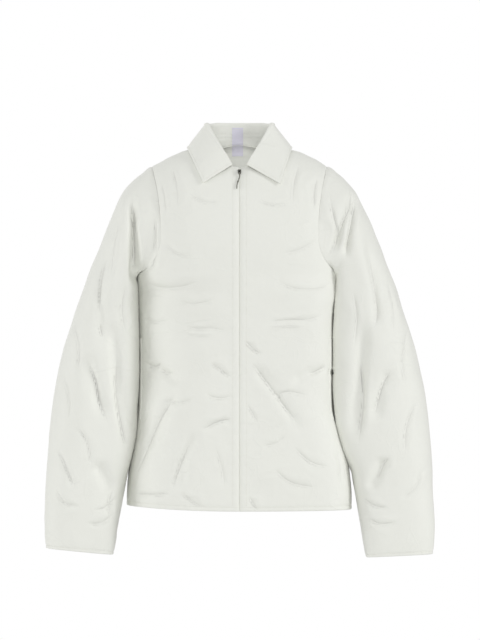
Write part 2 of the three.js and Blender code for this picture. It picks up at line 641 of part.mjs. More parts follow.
function pocketWelt(side) {
  const panel = fronts[side < 0 ? 0 : 1];
  const rows = rowsBetween(rowAt(panel, WELT.bottom, WELT.column),
    rowAt(panel, WELT.top, WELT.column));
  const columns = [WELT.column - WELT.half, WELT.column, WELT.column + WELT.half];
  const cells = rows.map((row) => columns.map((column) => onPanel(panel, row, column)));
  const outer = cells.map((row) =>
    row.map(({ p, normal }) => p.addScaledVector(normal, WELT.off + WELT.wall)));
  return wall(outer, cells.map((row) => row.map(({ normal }) => normal)), WELT.wall);
}

// The blank label sewn inside the neck, over the seam between the collar and the back.
const LABEL = { left: -14, right: 7, low: 2, wall: 1, off: 0.6 };

// One edge of the label from its foot to its top, inside the back and then inside the collar.
function labelLine(x) {
  const middle = (back.outer[0].length - 1) / 2;
  const beside = middle + Math.sign(x);
  const column = middle + x / Math.abs(back.outer[0][beside].x);
  const rows = rowsBetween(rowAt(back, LABEL.low, middle), back.outer.length - 1);
  const line = rows.map((row) => {
    const { p, normal } = onPanel(back, row, column);
    return { p: p.addScaledVector(normal, -WALL - LABEL.off), normal };
  });
  const [foot, , , roll] = collarLine(Math.asin(Math.abs(x) / NECK_X));
  for (const share of [0.2, 0.55, 0.9]) {
    const p = foot.clone().lerp(roll, share).setX(x);
    p.y -= COLLAR_WALL / 2 + LABEL.off;
    line.push({ p, normal: point(0, 1, 0) });
  }
  return line;
}

function neckLabel() {
  const lines = [LABEL.left, mix(LABEL.left, LABEL.right, 0.5), LABEL.right].map(labelLine);
  const across = (key) => lines[0].map((_, row) => lines.map((line) => line[row][key]));
  return wall(across("p"), across("normal"), LABEL.wall);
}

// Materials
const surface = (color, roughness, metalness = 0) =>
  new THREE.MeshStandardMaterial({ color, roughness, metalness });
const shell = surface("#e6e7e2", 0.72);
const tape = surface("#d9dad4", 0.85);
const teeth = surface("#cfd0c9", 0.5);
const darkMetal = surface("#2a2a24", 0.4, 0.8);
const greyMetal = surface("#8d8d84", 0.35, 0.9);
const cordage = surface("#7c7c72", 0.9);
const ribbon = surface("#d8d6e4", 0.6);

function mesh(name, geometry, material) {
  geometry.computeVertexNormals();
  const piece = new THREE.Mesh(geometry, material);
  piece.name = name;
  return piece;
}

const jacket = new THREE.Group();
jacket.add(
  mesh("front_right", wall(fronts[0].outer, fronts[0].normals, WALL), shell),
  mesh("front_left", wall(fronts[1].outer, fronts[1].normals, WALL), shell),
  mesh("back", wall(back.outer, back.normals, WALL), shell),
  mesh("sleeve_right", sleeve(-1), shell),
  mesh("sleeve_left", sleeve(1), shell),
  mesh("collar", collar(), shell),
  mesh("neck_label", neckLabel(), ribbon),
  mesh("pocket_welt_right", pocketWelt(-1), shell),
  mesh("pocket_welt_left", pocketWelt(1), shell),
  mesh("zip_tape_right", zipTape(-1), tape),
  mesh("zip_tape_left", zipTape(1), tape),
  mesh("zip_chain", zipChain(), teeth),
  mesh("zip_box", zipBox(), teeth),
);

// The slider's frame stands on the zip and leans with the front
const seat = onZip(zipRow(SLIDER_Z));
const sliderFrame = new THREE.Group();
sliderFrame.position.set(0, seat.p.y, seat.p.z);
sliderFrame.rotation.x = -Math.atan2(seat.normal.z, -seat.normal.y);
const pull = mesh("pull_tab", pullTab(), greyMetal);
pull.position.y = -PIN.out;
sliderFrame.add(mesh("zip_slider", slider(), darkMetal), pull);
jacket.add(sliderFrame);

const cordTop = point(0, -PIN.out, -PULL.length - CORD.gap)
  .applyEuler(sliderFrame.rotation).add(sliderFrame.position);
jacket.add(mesh("pull_cord", pullCord(cordTop), cordage));

export default jacket;
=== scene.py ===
# A short padded jacket with a turned-down collar and a front zip, filled out as when it is worn.
# Lengths are millimetres and become metres when a mesh is made. The front faces -Y, +Z is up
# and +X is the wearer's left.
import json
import math
import bmesh
import bpy
import numpy as np
from mathutils import Matrix, Vector


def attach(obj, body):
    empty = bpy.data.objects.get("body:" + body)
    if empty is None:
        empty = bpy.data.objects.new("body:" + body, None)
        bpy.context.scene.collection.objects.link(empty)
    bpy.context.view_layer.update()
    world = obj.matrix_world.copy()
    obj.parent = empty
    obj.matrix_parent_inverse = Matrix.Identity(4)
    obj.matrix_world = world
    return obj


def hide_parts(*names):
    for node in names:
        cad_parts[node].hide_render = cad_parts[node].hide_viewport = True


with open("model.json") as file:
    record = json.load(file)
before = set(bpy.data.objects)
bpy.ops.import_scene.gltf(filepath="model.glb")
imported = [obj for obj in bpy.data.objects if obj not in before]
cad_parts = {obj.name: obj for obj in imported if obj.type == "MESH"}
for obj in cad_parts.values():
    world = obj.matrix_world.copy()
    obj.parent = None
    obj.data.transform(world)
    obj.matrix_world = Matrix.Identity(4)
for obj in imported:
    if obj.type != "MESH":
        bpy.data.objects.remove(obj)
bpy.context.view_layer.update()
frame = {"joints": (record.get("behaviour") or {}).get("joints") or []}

MM = 0.001
JACKET = "jacket"
PULLER = "puller"

# Driving dimensions, as in the frame
WALL = 4
SEAM_GAP = 0.06
UNDERARM_Z = -238
SHOULDER_X = 166
SHOULDER_Y = 5
NECK_X = 72
FRONT_NECK = 98
BACK_NECK = 53
NECK_TOP = 8
NAPE_RISE = 18
TORSO_POWER = 2.6
SHOULDER_POWER = 2.4
SLEEVE_POWER = 2.25
LAST_RING = 15

# What only the scene has. A side is -1 for the wearer's right and 1 for the left.
FRONT_EDGE_X = 0.2
LEFT_FRONT_POWER = 4.2
RIGHT_FRONT_POWER = 2.05
SLEEVE_INNER_POWER = {-1: 3.2, 1: 4.5}
SLEEVE_HEAD_FLATTER = 0.17
PRESSED = {-1: 5, 1: 12}
BODY_CLEARANCE = 0.5
BODY_CLEARED_Z = -690
LEFT_CUFF_DROP = (5, 11)

# The most that relief goes in and out of a piece
PANEL_LIMITS = (4.4, 3.6)
SLEEVE_LIMITS = (4.6, 3.8)
COLLAR_LIMITS = (1.1, 1.3)

# How far a crease is followed to either side of its line
CREASE_REACH = 12

# Stitching. The distances are from the edge of the cloth to the stitches.
HEM_STITCH = 8.2
CUFF_STITCH = 6
ZIP_STITCH = 13
COLLAR_STITCH = 6
NECK_LINES = (32, 24.7)
STITCH_PITCH = 3.1
STITCH_LENGTH = 2.3
STITCH_HALF = 0.27
STITCH_PROUD = 0.06


def table(columns, rows):
    return dict(zip(columns.split(), np.array(rows, float).T))


# Torso sections from the hem up: half widths on the wearer's right and left, and depths
TORSO = table("z right left front back", [
    (-684, 215, 214, 149, 138),
    (-640, 214, 213, 151, 140),
    (-590, 209, 207, 153, 142),
    (-540, 200, 192, 154, 143),
    (-490, 196, 181, 154, 143),
    (-400, 194, 179, 153, 143),
    (-300, 196, 182, 152, 143),
    (-238, 197, 197, 150, 142),
])

# The armhole seam's distance from the middle on the front and on the back, by height
ARMHOLE = table("z front back", [
    (-238, 197, 197),
    (-225, 176, 186),
    (-209, 162, 176),
    (-190, 153, 169),
    (-165, 149, 163),
    (-120, 151, 161),
    (-80, 156, 162),
    (-50, 162, 165),
    (-30, 166, 166),
])

# Sleeve rings: outer and inner edge seen from the front, half depth and lean to the front
SLEEVE = table("ring out_x out_z in_x in_z deep forward", [
    (0, 166, -30, 197, -238, 100, 0),
    (1, 195, -46, 199, -245, 101, 0),
    (2, 221, -76, 199, -252, 100, 0),
    (3, 241, -118, 198, -260, 99, 1),
    (4, 257, -157, 196, -270, 98, 2),
    (5, 275, -205, 190, -284, 97, 4),
    (6, 293, -250, 186, -306, 95, 6),
    (7, 312, -305, 184, -340, 93, 9),
    (8, 332, -370, 182, -387, 91, 13),
    (9, 346, -430, 183, -438, 88, 18),
    (10, 356, -490, 186, -495, 83, 25),
    (11, 363, -560, 202, -563, 76, 33),
    (12, 368, -635, 217, -640, 67, 41),
    (13, 370, -695, 229, -701, 57, 48),
    (14, 369, -734, 236, -744, 49, 52),
    (15, 367, -756, 240, -768, 43, 54),
])

# The largest folds, as in the frame, by cloth and face: half width, depth and their line
FOLDS = {
    ("sleeve", -1): [
        (9, 15, [(-203, -76), (-200, -150), (-198, -215), (-197, -262)]),
        (13, 8, [(-246, -165), (-262, -270), (-258, -372)]),
        (13, 9, [(-238, -322), (-232, -410), (-211, -535)]),
        (14, 6, [(-294, -380), (-276, -440), (-252, -512)]),
        (12, 7, [(-272, -590), (-256, -618), (-240, -650)]),
        (9, 9, [(214, -82), (208, -115), (191, -155), (180, -200)]),
        (8, 8, [(226, -80), (212, -150), (199, -212)]),
        (13, 8, [(244, -150), (262, -255), (264, -345)]),
        (13, 9, [(236, -305), (228, -430), (213, -560)]),
        (14, 6, [(291, -408), (270, -465), (252, -520)]),
        (12, 7, [(275, -580), (260, -612), (244, -648)]),
    ],
    ("sleeve", 1): [
        (15, 12, [(-215, -95), (-210, -170), (-202, -270)]),
        (15, 8, [(-285, -330), (-262, -400), (-225, -455)]),
        (14, 7, [(-330, -480), (-290, -520), (-240, -540)]),
        (15, 12, [(218, -100), (211, -170), (200, -262)]),
        (15, 8, [(292, -345), (262, -405), (222, -440)]),
        (14, 7, [(335, -470), (295, -515), (238, -530)]),
    ],
    ("torso", -1): [
        (10, 5, [(-176, -404), (-150, -418), (-106, -442)]),
        (10, 5, [(168, -412), (134, -420), (94, -444)]),
        (12, 5, [(20, -403), (60, -440), (124, -548)]),
        (12, 5, [(-116, -450), (-155, -530), (-176, -572)]),
        (11, 5, [(-78, -530), (-102, -585), (-118, -652)]),
    ],
    ("torso", 1): [
        (16, 8, [(-150, -205), (-120, -290), (-112, -400)]),
        (16, 8, [(148, -200), (124, -280), (120, -380)]),
        (14, 6, [(-165, -470), (-90, -500), (20, -492)]),
        (14, 6, [(150, -540), (90, -570), (-10, -600)]),
    ],
}

# Finer creases, as they are seen from the front or the back: half width, depth
# and line. A negative depth is a ridge. The right side is at negative x.
FRONT_CREASES = [
    # Right chest and armhole
    (5, 2.2, [(-166, -42), (-158, -70), (-154, -104), (-152, -118)]),
    (4, 2.0, [(-155, -120), (-158, -160), (-160, -208), (-176, -240)]),
    (4, 1.2, [(-148, -60), (-141, -92), (-138, -128)]),
    (6, 1.2, [(-128, -30), (-118, -70), (-116, -116)]),
    (5, 1.0, [(-98, -84), (-70, -98), (-34, -102)]),
    (5, 0.9, [(-142, -176), (-118, -196), (-84, -206)]),
    (6, 1.1, [(-178, -252), (-150, -262), (-108, -260), (-76, -250)]),
    (5, 0.9, [(-120, -286), (-84, -292), (-44, -284)]),
    (4, 1.0, [(-109, -333), (-80, -339), (-52, -338), (-18, -346)]),
    (4, -0.8, [(-112, -342), (-78, -350), (-44, -349)]),
    (5, 0.9, [(-184, -318), (-160, -326), (-128, -322)]),
    (3.5, 1.6, [(-186, -399), (-166, -410), (-156, -409), (-149, -404)]),
    (4, 1.5, [(-152, -414), (-138, -422), (-127, -424)]),
    (5, 1.5, [(-56, -403), (-36, -416), (-14, -433)]),
    (5, 1.7, [(-75, -532), (-42, -515), (-12, -509)]),
    (5, 1.6, [(-90, -545), (-113, -602), (-127, -646)]),
    (6, 1.8, [(-119, -462), (-157, -526), (-202, -632)]),
    (5, 1.3, [(-113, -646), (-88, -664), (-62, -678)]),
    (4, 1.5, [(-202, -651), (-166, -652), (-126, -650)]),
    (5, 1.1, [(-150, -470), (-116, -478), (-82, -470)]),
    (4, 1.0, [(-46, -560), (-32, -604), (-28, -642)]),
    (4, 0.9, [(-66, -462), (-40, -470), (-12, -466)]),
    # Left chest and armhole
    (4, 1.9, [(168, -70), (177, -120), (185, -158), (181, -184), (168, -209)]),
    (5, 1.6, [(148, -48), (142, -84), (142, -118)]),
    (5, 1.0, [(114, -24), (104, -62), (100, -110)]),
    (5, 0.9, [(30, -92), (62, -104), (98, -100)]),
    (5, 1.0, [(80, -198), (112, -190), (146, -172)]),
    (6, 1.1, [(64, -246), (104, -262), (150, -262), (176, -252)]),
    (4, 1.1, [(52, -328), (84, -323), (128, -322), (160, -312)]),
    (4, -0.8, [(50, -337), (88, -333), (124, -334)]),
    (4, 1.5, [(10, -361), (24, -376), (43, -390)]),
    (4, 1.7, [(126, -425), (141, -421), (154, -415), (161, -409)]),
    (4, 1.4, [(168, -414), (174, -422), (177, -428)]),
    (5, 1.6, [(20, -399), (45, -431), (77, -475), (115, -526)]),
    (4, 1.1, [(14, -481), (24, -498), (35, -517)]),
    (5, 1.5, [(18, -655), (27, -670), (35, -684)]),
    (5, 1.2, [(100, -560), (134, -590), (170, -600)]),
    (5, 1.2, [(62, -600), (96, -628), (150, -640)]),
    (4, 1.0, [(180, -560), (190, -600), (192, -650)]),
    (5, 1.0, [(58, -470), (92, -458), (132, -466)]),
    (5, 0.9, [(40, -560), (66, -556), (90, -540)]),
    # Right sleeve, front
    (5, 3.0, [(-202, -92), (-200, -150), (-198, -200), (-197, -244)]),
    (5, 1.7, [(-252, -196), (-262, -250), (-265, -317)]),
    (4, 1.6, [(-265, -329), (-262, -344), (-259, -355)]),
    (6, 2.0, [(-288, -393), (-270, -440), (-264, -476), (-246, -526)]),
    (5, 1.9, [(-233, -380), (-233, -456), (-221, -532), (-212, -566)]),
    (5, 1.6, [(-346, -564), (-328, -600), (-309, -646)]),
    (4, 1.3, [(-318, -320), (-304, -372), (-306, -430)]),
    (4, 1.2, [(-238, -640), (-246, -668), (-243, -700)]),
    (4, 1.4, [(-232, -656), (-252, -676), (-276, -684)]),
    (4, 1.3, [(-236, -690), (-262, -706), (-290, -708)]),
    (4, 1.2, [(-350, -640), (-330, -668), (-300, -676)]),
    (5, 1.2, [(-310, -520), (-286, -556), (-280, -604)]),
    (5, 1.3, [(-226, -120), (-240, -190), (-242, -250)]),
    (5, 1.1, [(-214, -250), (-222, -300), (-214, -356)]),
    (4, 1.1, [(-340, -420), (-322, -470), (-324, -520)]),
    # Left sleeve, front
    (4, 1.8, [(214, -70), (210, -105), (191, -152), (181, -194)]),
    (4, 1.6, [(226, -78), (210, -152), (199, -208)]),
    (5, 1.8, [(244, -184), (255, -250), (261, -310), (254, -342)]),
    (6, 1.9, [(286, -418), (270, -450), (254, -507)]),
    (5, 1.9, [(229, -386), (235, -475), (223, -564)]),
    (5, 1.6, [(286, -576), (270, -604), (261, -627)]),
    (4, 1.4, [(232, -658), (256, -674), (282, -678)]),
    (4, 1.3, [(238, -694), (266, -708), (300, -704)]),
    (5, 1.2, [(322, -330), (310, -390), (314, -450)]),
    (5, 1.3, [(340, -470), (318, -520), (312, -580)]),
    (4, 1.1, [(350, -600), (334, -640), (304, -662)]),
    (5, 1.1, [(214, -262), (222, -320), (216, -380)]),
    (4, 1.1, [(280, -240), (292, -300), (290, -352)]),
]

BACK_CREASES = [
    # Back
    (6, 1.8, [(-160, -60), (-150, -120), (-156, -190), (-176, -236)]),
    (6, 1.8, [(162, -64), (152, -124), (155, -186), (174, -232)]),
    (6, 1.3, [(-120, -70), (-60, -96), (14, -92)]),
    (6, 1.2, [(126, -104), (70, -124), (-8, -128)]),
    (5, 1.5, [(-178, -250), (-130, -262), (-70, -246)]),
    (5, 1.5, [(180, -254), (120, -276), (66, -262)]),
    (6, 1.7, [(-176, -330), (-120, -352), (-40, -344)]),
    (6, 1.6, [(178, -380), (110, -402), (30, -388)]),
    (5, 1.4, [(-184, -420), (-140, -446), (-78, -450)]),
    (6, 1.8, [(-150, -520), (-84, -560), (-20, -556)]),
    (5, 1.5, [(160, -470), (104, -496), (40, -484)]),
    (6, 1.6, [(190, -600), (120, -636), (60, -630)]),
    (5, 1.4, [(-196, -610), (-150, -640), (-90, -634)]),
    (5, 1.3, [(-60, -600), (-30, -640), (-20, -676)]),
    (5, 1.2, [(30, -180), (46, -240), (36, -310)]),
    (5, 1.1, [(-60, -160), (-48, -220), (-60, -290)]),
    # Sleeves, back
    (6, 1.9, [(-212, -70), (-222, -140), (-214, -220)]),
    (6, 1.9, [(214, -76), (224, -144), (212, -226)]),
    (5, 1.7, [(-250, -190), (-272, -260), (-270, -330)]),
    (5, 1.7, [(252, -196), (276, -262), (280, -336)]),
    (6, 2.0, [(-322, -360), (-280, -390), (-236, -392)]),
    (6, 2.0, [(330, -372), (284, -398), (230, -400)]),
    (5, 1.8, [(-338, -440), (-300, -470), (-240, -476)]),
    (5, 1.8, [(340, -430), (300, -462), (236, -470)]),
    (5, 1.6, [(-350, -540), (-312, -580), (-262, -596)]),
    (5, 1.6, [(352, -530), (306, -574), (260, -590)]),
    (4, 1.4, [(-246, -650), (-290, -690), (-340, -690)]),
    (4, 1.4, [(248, -656), (288, -694), (344, -686)]),
]

CREASES = {-1: FRONT_CREASES, 1: BACK_CREASES}

# How much deeper every crease is made than its row says
CREASE_DEPTH = 1.35


def clamp01(value):
    return np.clip(value, 0.0, 1.0)


def mix(a, b, share):
    return a + (b - a) * share


def ease(value):
    t = clamp01(value)
    return t * t * (3 - 2 * t)


def bell(value, width):
    return np.exp(-((value / width) ** 2))


def signed_power(value, power):
    return np.sign(value) * np.abs(value) ** power


def stack(x, y, z):
    return np.stack(np.broadcast_arrays(x, y, z), axis=-1).astype(float)


def unit(vectors):
    return vectors / np.maximum(np.linalg.norm(vectors, axis=-1, keepdims=True), 1e-9)


def read(rows, key, column, at):
    """A column of a table on a smooth curve through its rows."""
    keys, values = rows[key], rows[column]
    ends = np.diff(values) / np.diff(keys)
    middle = (values[2:] - values[:-2]) / (keys[2:] - keys[:-2])
    slopes = np.concatenate([ends[:1], middle, ends[-1:]])
    at = np.clip(at, keys[0], keys[-1])
    i = np.clip(np.searchsorted(keys, at, side="right") - 1, 0, len(keys) - 2)
    span = keys[i + 1] - keys[i]
    t = (at - keys[i]) / span
    return (
        values[i] * (1 + 2 * t) * (1 - t) ** 2
        + values[i + 1] * t * t * (3 - 2 * t)
        + span * t * (1 - t) * (slopes[i] * (1 - t) - slopes[i + 1] * t)
    )


def noise(points, size, seed):
    """Smooth noise between -1 and 1 whose lumps are about a size across."""
    cells = 24
    lattice = np.random.default_rng(seed).uniform(-1, 1, (cells, cells, cells))
    q = points / size + 100
    low = np.floor(q).astype(int)
    f = q - low
    f = f * f * f * (f * (6 * f - 15) + 10)
    total = 0
    for corner in range(8):
        step = np.array([corner & 1, corner >> 1 & 1, corner >> 2 & 1])
        at = (low + step) % cells
        weight = np.prod(np.where(step == 1, f, 1 - f), axis=-1)
        total = total + weight * lattice[at[..., 0], at[..., 1], at[..., 2]]
    return total


def ripple(along, size, seed):
    """Uneven waves along a seam."""
    return noise(stack(along, 0.37 * size, 0.61 * size), size, seed)


# The torso's surface. A face is -1 for the front and 1 for the back.
def half_width(x_sign, z):
    z = np.minimum(z, UNDERARM_Z)
    return np.where(x_sign < 0, read(TORSO, "z", "right", z), read(TORSO, "z", "left", z))


def torso_power(face, x_sign, z):
    """Below the arm the left front is squarer, where the sleeve leans on it, and the right
    front falls away further."""
    left = mix(TORSO_POWER, LEFT_FRONT_POWER, ease((-236 - z) / 60))
    fallen = ease((-236 - z) / 40) * ease((z + 500) / 80)
    right = mix(TORSO_POWER, RIGHT_FRONT_POWER, fallen)
    return np.where(face > 0, TORSO_POWER, np.where(x_sign > 0, left, right))


def level_depth(face, x, z):
    across = clamp01(np.abs(x) / half_width(np.sign(x), z))
    depth = read(TORSO, "z", "front" if face < 0 else "back", np.minimum(z, UNDERARM_Z))
    power = torso_power(face, np.sign(x), z)
    return depth * (1 - across**power) ** (1 / power)


def ridge_height(face, x):
    out = np.abs(x) - NECK_X
    beyond = NECK_TOP - 0.185 * out - 0.00232 * out * out
    nape = NAPE_RISE / 2 * (1 + np.cos(np.pi * x / NECK_X)) if face > 0 else 0
    return np.where(out >= 0, beyond, NECK_TOP + nape)


def top_z(face, x, y):
    share = clamp01(np.abs(y - SHOULDER_Y) / level_depth(face, x, UNDERARM_Z))
    rise = (1 - share ** SHOULDER_POWER) ** (1 / SHOULDER_POWER)
    return UNDERARM_Z + (ridge_height(face, x) - UNDERARM_Z) * rise


def neck_point(face, angle):
    x = NECK_X * np.sin(angle)
    c = np.maximum(np.cos(angle), 0)
    y = SHOULDER_Y + (-FRONT_NECK * c ** 0.85 if face < 0 else BACK_NECK * c)
    return stack(x, y, top_z(face, x, y))


def torso_y(face, x, z):
    rise = clamp01((z - UNDERARM_Z) / (ridge_height(face, x) - UNDERARM_Z))
    left = (1 - rise ** SHOULDER_POWER) ** (1 / SHOULDER_POWER)
    above = SHOULDER_Y * ease(rise) + face * level_depth(face, x, UNDERARM_Z) * left
    return np.where(z <= UNDERARM_Z, face * level_depth(face, x, z), above)


def hem_height(x):
    return TORSO["z"][0] + np.where(x < 0, 9, 2) * (x / TORSO["right"][0]) ** 2


def torso_point(face, side, across, up, edge_x):
    """A point at a share across, and a share up: 0 the hem, 1 the underarm, 2 the top."""
    spread = np.sin(across * np.pi / 2) ** (2 / TORSO_POWER)
    hem_x = side * half_width(side, TORSO["z"][0]) * spread
    low_z = mix(hem_height(hem_x), UNDERARM_Z, np.minimum(up, 1))
    rise = (1 - np.cos((np.maximum(up, 1) - 1) * np.pi)) / 2
    armhole_z = mix(UNDERARM_Z, ARMHOLE["z"][-1], rise)
    edge = read(ARMHOLE, "z", "front" if face < 0 else "back", armhole_z)
    top_x = mix(edge_x, SHOULDER_X, spread)
    neck = neck_point(face, np.arcsin(clamp01(top_x / NECK_X)))[..., 2]
    top = np.where(top_x < NECK_X, neck, ridge_height(face, top_x))
    lower = up <= 1
    x = side * mix(edge_x, np.where(lower, half_width(side, low_z), edge), spread)
    z = np.where(lower, low_z, mix(UNDERARM_Z, top, rise))
    return stack(x, torso_y(face, x, z), z)


def armhole_point(angle):
    """The armhole seam on the wearer's left, by the angle round it."""
    rise = (1 + np.cos(angle)) / 2
    z = mix(UNDERARM_Z, ARMHOLE["z"][-1], rise)
    in_front = np.sin(angle) >= 0
    x = np.where(in_front, read(ARMHOLE, "z", "front", z), read(ARMHOLE, "z", "back", z))
    y = np.where(in_front, torso_y(-1, x, z), torso_y(1, x, z))
    return stack(x, y, z)


def beside_body(side, y, z):
    """How far out the body's side is, at a depth and a height."""
    wide = half_width(np.full_like(z, side), z)
    depth = np.where(y < 0, read(TORSO, "z", "front", z), read(TORSO, "z", "back", z))
    share = clamp01(np.abs(y) / depth)
    power = torso_power(np.where(y < 0, -1, 1), side, z)
    return wide * (1 - share**power) ** (1 / power)


def sleeve_point(side, ring, angle):
    """A sleeve's surface. Angle 0 is its outer edge and a quarter turn its front."""
    at = {name: read(SLEEVE, "ring", name, ring) for name in SLEEVE}
    beside = half_width(np.full_like(ring, side), at["in_z"])
    pressed = ease(ring / 1.5) * ease((at["in_z"] + 615) / 50)
    in_x = mix(at["in_x"], beside - PRESSED[side], pressed)
    # The sleeve is fuller where it leans on the front of the body
    by_body = (np.cos(angle) < 0) & (np.sin(angle) > 0)
    power = np.where(by_body, SLEEVE_INNER_POWER[side], SLEEVE_POWER)
    share = (1 + signed_power(np.cos(angle), 2 / power)) / 2
    # The head of the sleeve carries on the slope of the shoulder
    head = 1 - SLEEVE_HEAD_FLATTER * ease((2.6 - ring) / 1.6) * ease(1.4 * np.cos(angle))
    y = -at["forward"] - head * at["deep"] * signed_power(np.sin(angle), 2 / power)
    z = mix(at["in_z"], at["out_z"], share)
    if side > 0:
        z = z - mix(*LEFT_CUFF_DROP, share) * ease((ring - 13) / 2)
    x = mix(in_x, at["out_x"], share)
    clear_x = beside_body(side, y, z) + BODY_CLEARANCE
    x = np.where(z > BODY_CLEARED_Z, np.maximum(x, clear_x), x)
    seam = 0.8 * ease(1 - ring / 2.2) + 0.2 * ease(1 - ring / 0.5)
    point = mix(stack(x, y, z), armhole_point(angle), seam[..., None])
    point[..., 0] *= side
    return point


# Cloth is a grid of points with normals. Its distances to its four edges are measured on it.
def grid_normals(points, tube):
    if tube:
        sideways = np.roll(points, -1, axis=1) - np.roll(points, 1, axis=1)
    else:
        sideways = np.gradient(points, axis=1)
    normals = unit(np.cross(sideways, np.gradient(points, axis=0)))
    middle = points.mean(axis=1, keepdims=True)
    if np.sum(normals * (points - middle)) < 0:
        normals = -normals
    return normals


def arc(points, axis):
    """Length along a grid's rows or columns, from 0."""
    steps = np.linalg.norm(np.diff(points, axis=axis), axis=-1)
    zero = np.zeros_like(np.take(steps, [0], axis=axis))
    return np.cumsum(np.concatenate([zero, steps], axis=axis), axis=axis)


def smooth_line(corners, count):
    """A smooth line through corner points."""
    corners = np.array(corners, float)
    knots = np.arange(len(corners), dtype=float)
    t = np.linspace(0, knots[-1], count)
    return np.stack([read({"t": knots, "v": v}, "t", "v", t) for v in corners.T], axis=-1)


def along_line(line, seen):
    """How far each seen point is from a line, on which side, and its share along it."""
    best = np.full(seen.shape[:-1], 1e9)
    signed = np.zeros_like(best)
    share = np.zeros_like(best)
    legs = len(line) - 1
    for leg in range(legs):
        a, d = line[leg], line[leg + 1] - line[leg]
        t = clamp01(((seen - a) @ d) / max(d @ d, 1e-9))
        off = seen - a - t[..., None] * d
        distance = np.hypot(off[..., 0], off[..., 1])
        nearer = distance < best
        side = np.sign(d[0] * off[..., 1] - d[1] * off[..., 0])
        best = np.where(nearer, distance, best)
        signed = np.where(nearer, side * distance, signed)
        share = np.where(nearer, (leg + t) / legs, share)
    return best, signed, share


def fold_depth(cloth, face, points):
    """The large folds of the frame, in millimetres inwards."""
    seen = points[..., [0, 2]]
    total = np.zeros(points.shape[:-1])
    for on_face in (-1, 1):
        for wide, deep, corners in FOLDS[cloth, on_face]:
            best, _, share = along_line(np.array(corners, float), seen)
            depth = deep * bell(best, wide) * ease(4 * share) * ease(4 * (1 - share))
            total += np.where(face == on_face, depth, 0)
    return total


def crease_height(face, points):
    """The finer creases: a soft trough each, gentle below and steep towards the light. Also how
    far each point is from the nearest one, in millimetres, and how deep that one is."""
    seen = points[..., [0, 2]]
    total = np.zeros(points.shape[:-1])
    lines = np.zeros(points.shape[:-1] + (2,))
    lines[..., 0] = CREASE_REACH
    every = [(on_face, *crease) for on_face, creases in CREASES.items() for crease in creases]
    for on_face, wide, deep, corners in every:
        line = smooth_line(corners, 4 * len(corners))
        low, high = line.min(axis=0) - 5 * wide, line.max(axis=0) + 5 * wide
        near = np.all((seen > low) & (seen < high), axis=-1) & (face == on_face)
        if not near.any():
            continue
        _, signed, share = along_line(line, seen[near])
        run = line[-1] - line[0]
        signed = signed * (1 if run[0] - run[1] > 0 else -1)
        wobble = wide * (1 + 0.3 * np.sin(9 * share + deep * 7))
        q = signed / wobble
        gentle = np.where(q < 0, 1.5, 0.8)
        ends = ease(3.5 * share) * ease(3.5 * (1 - share))
        lips = 0.45 * bell(q - 2.1, 1) + 0.15 * bell(q + 2.8, 1)
        total[near] += CREASE_DEPTH * deep * ends * (lips - bell(q, gentle))
        strength = deep * ends * ease((5.5 - np.abs(signed)) / 3.5)
        known = lines[near]
        nearer = (np.abs(strength) * np.exp(-np.abs(signed) / 3)
                  > np.abs(known[:, 1]) * np.exp(-np.abs(known[:, 0]) / 3))
        known[nearer, 0] = np.clip(signed, -CREASE_REACH, CREASE_REACH)[nearer]
        known[nearer, 1] = strength[nearer]
        lines[near] = known
    return total, lines


def padding_height(points):
    """The uneven loft of the wadding, and slack in the shell over it."""
    loft = 1.7 * noise(points, 80, 3) + 0.9 * noise(points, 38, 5)
    slack = np.abs(noise(points * np.array([1.0, 1.0, 0.8]), 26, 8)) ** 1.3 - 0.25
    return loft - 0.45 * slack + 0.12 * noise(points, 12, 13)


def seam_height(distance, along, seed, sink=0.7, reach=20, pucker=0.6):
    """A seam's groove and the puckers that run out of it."""
    waves = ripple(along, 12, seed) + 0.5 * ripple(along, 6, seed + 1)
    grown = ease(distance / 3) * np.exp(-((distance / reach) ** 1.3))
    return pucker * waves * grown - sink * bell(distance, 2.2)


def stitched_height(distance, at, along, seed, sink=0.9):
    """A line of top stitching at a distance from an edge: a fine groove, puckered on both sides."""
    off = np.abs(distance - at)
    waves = ripple(along, 7, seed) + 0.5 * ripple(along, 4, seed + 1)
    return 0.5 * waves * np.exp(-((off / 8) ** 1.4)) - sink * bell(off, 1.3)


def rounded_edge(distance, radius):
    """How far both faces of a wall draw in towards its middle near a free edge."""
    share = clamp01(1 - distance / radius)
    return radius * (1 - np.sqrt(1 - share**2))


# Meshes
def new_object(name, vertices, faces, smooth=True, outward=False):
    """An object from points in millimetres. With outward its faces are turned outwards."""
    mesh = bpy.data.meshes.new(name)
    mesh.from_pydata((np.asarray(vertices) * MM).tolist(), [], faces)
    if outward:
        shape = bmesh.new()
        shape.from_mesh(mesh)
        bmesh.ops.recalc_face_normals(shape, faces=shape.faces)
        shape.to_mesh(mesh)
        shape.free()
    mesh.update()
    if smooth:
        mesh.shade_smooth()
    obj = bpy.data.objects.new(name, mesh)
    bpy.context.scene.collection.objects.link(obj)
    return obj


def tube_faces(rows, points):
    """The faces of a closed tube of rings of points, with its two caps last."""
    quads = [
        (points * r + k, points * r + (k + 1) % points,
         points * (r + 1) + (k + 1) % points, points * (r + 1) + k)
        for r in range(rows - 1) for k in range(points)
    ]
    return quads + [tuple(range(points - 1, -1, -1)), tuple(range(points * (rows - 1), points * rows))]


def repeated(faces, count, size):
    """The same faces again for each of a count of shapes with a size of points."""
    return [tuple(size * i + v for v in face) for i in range(count) for face in faces]


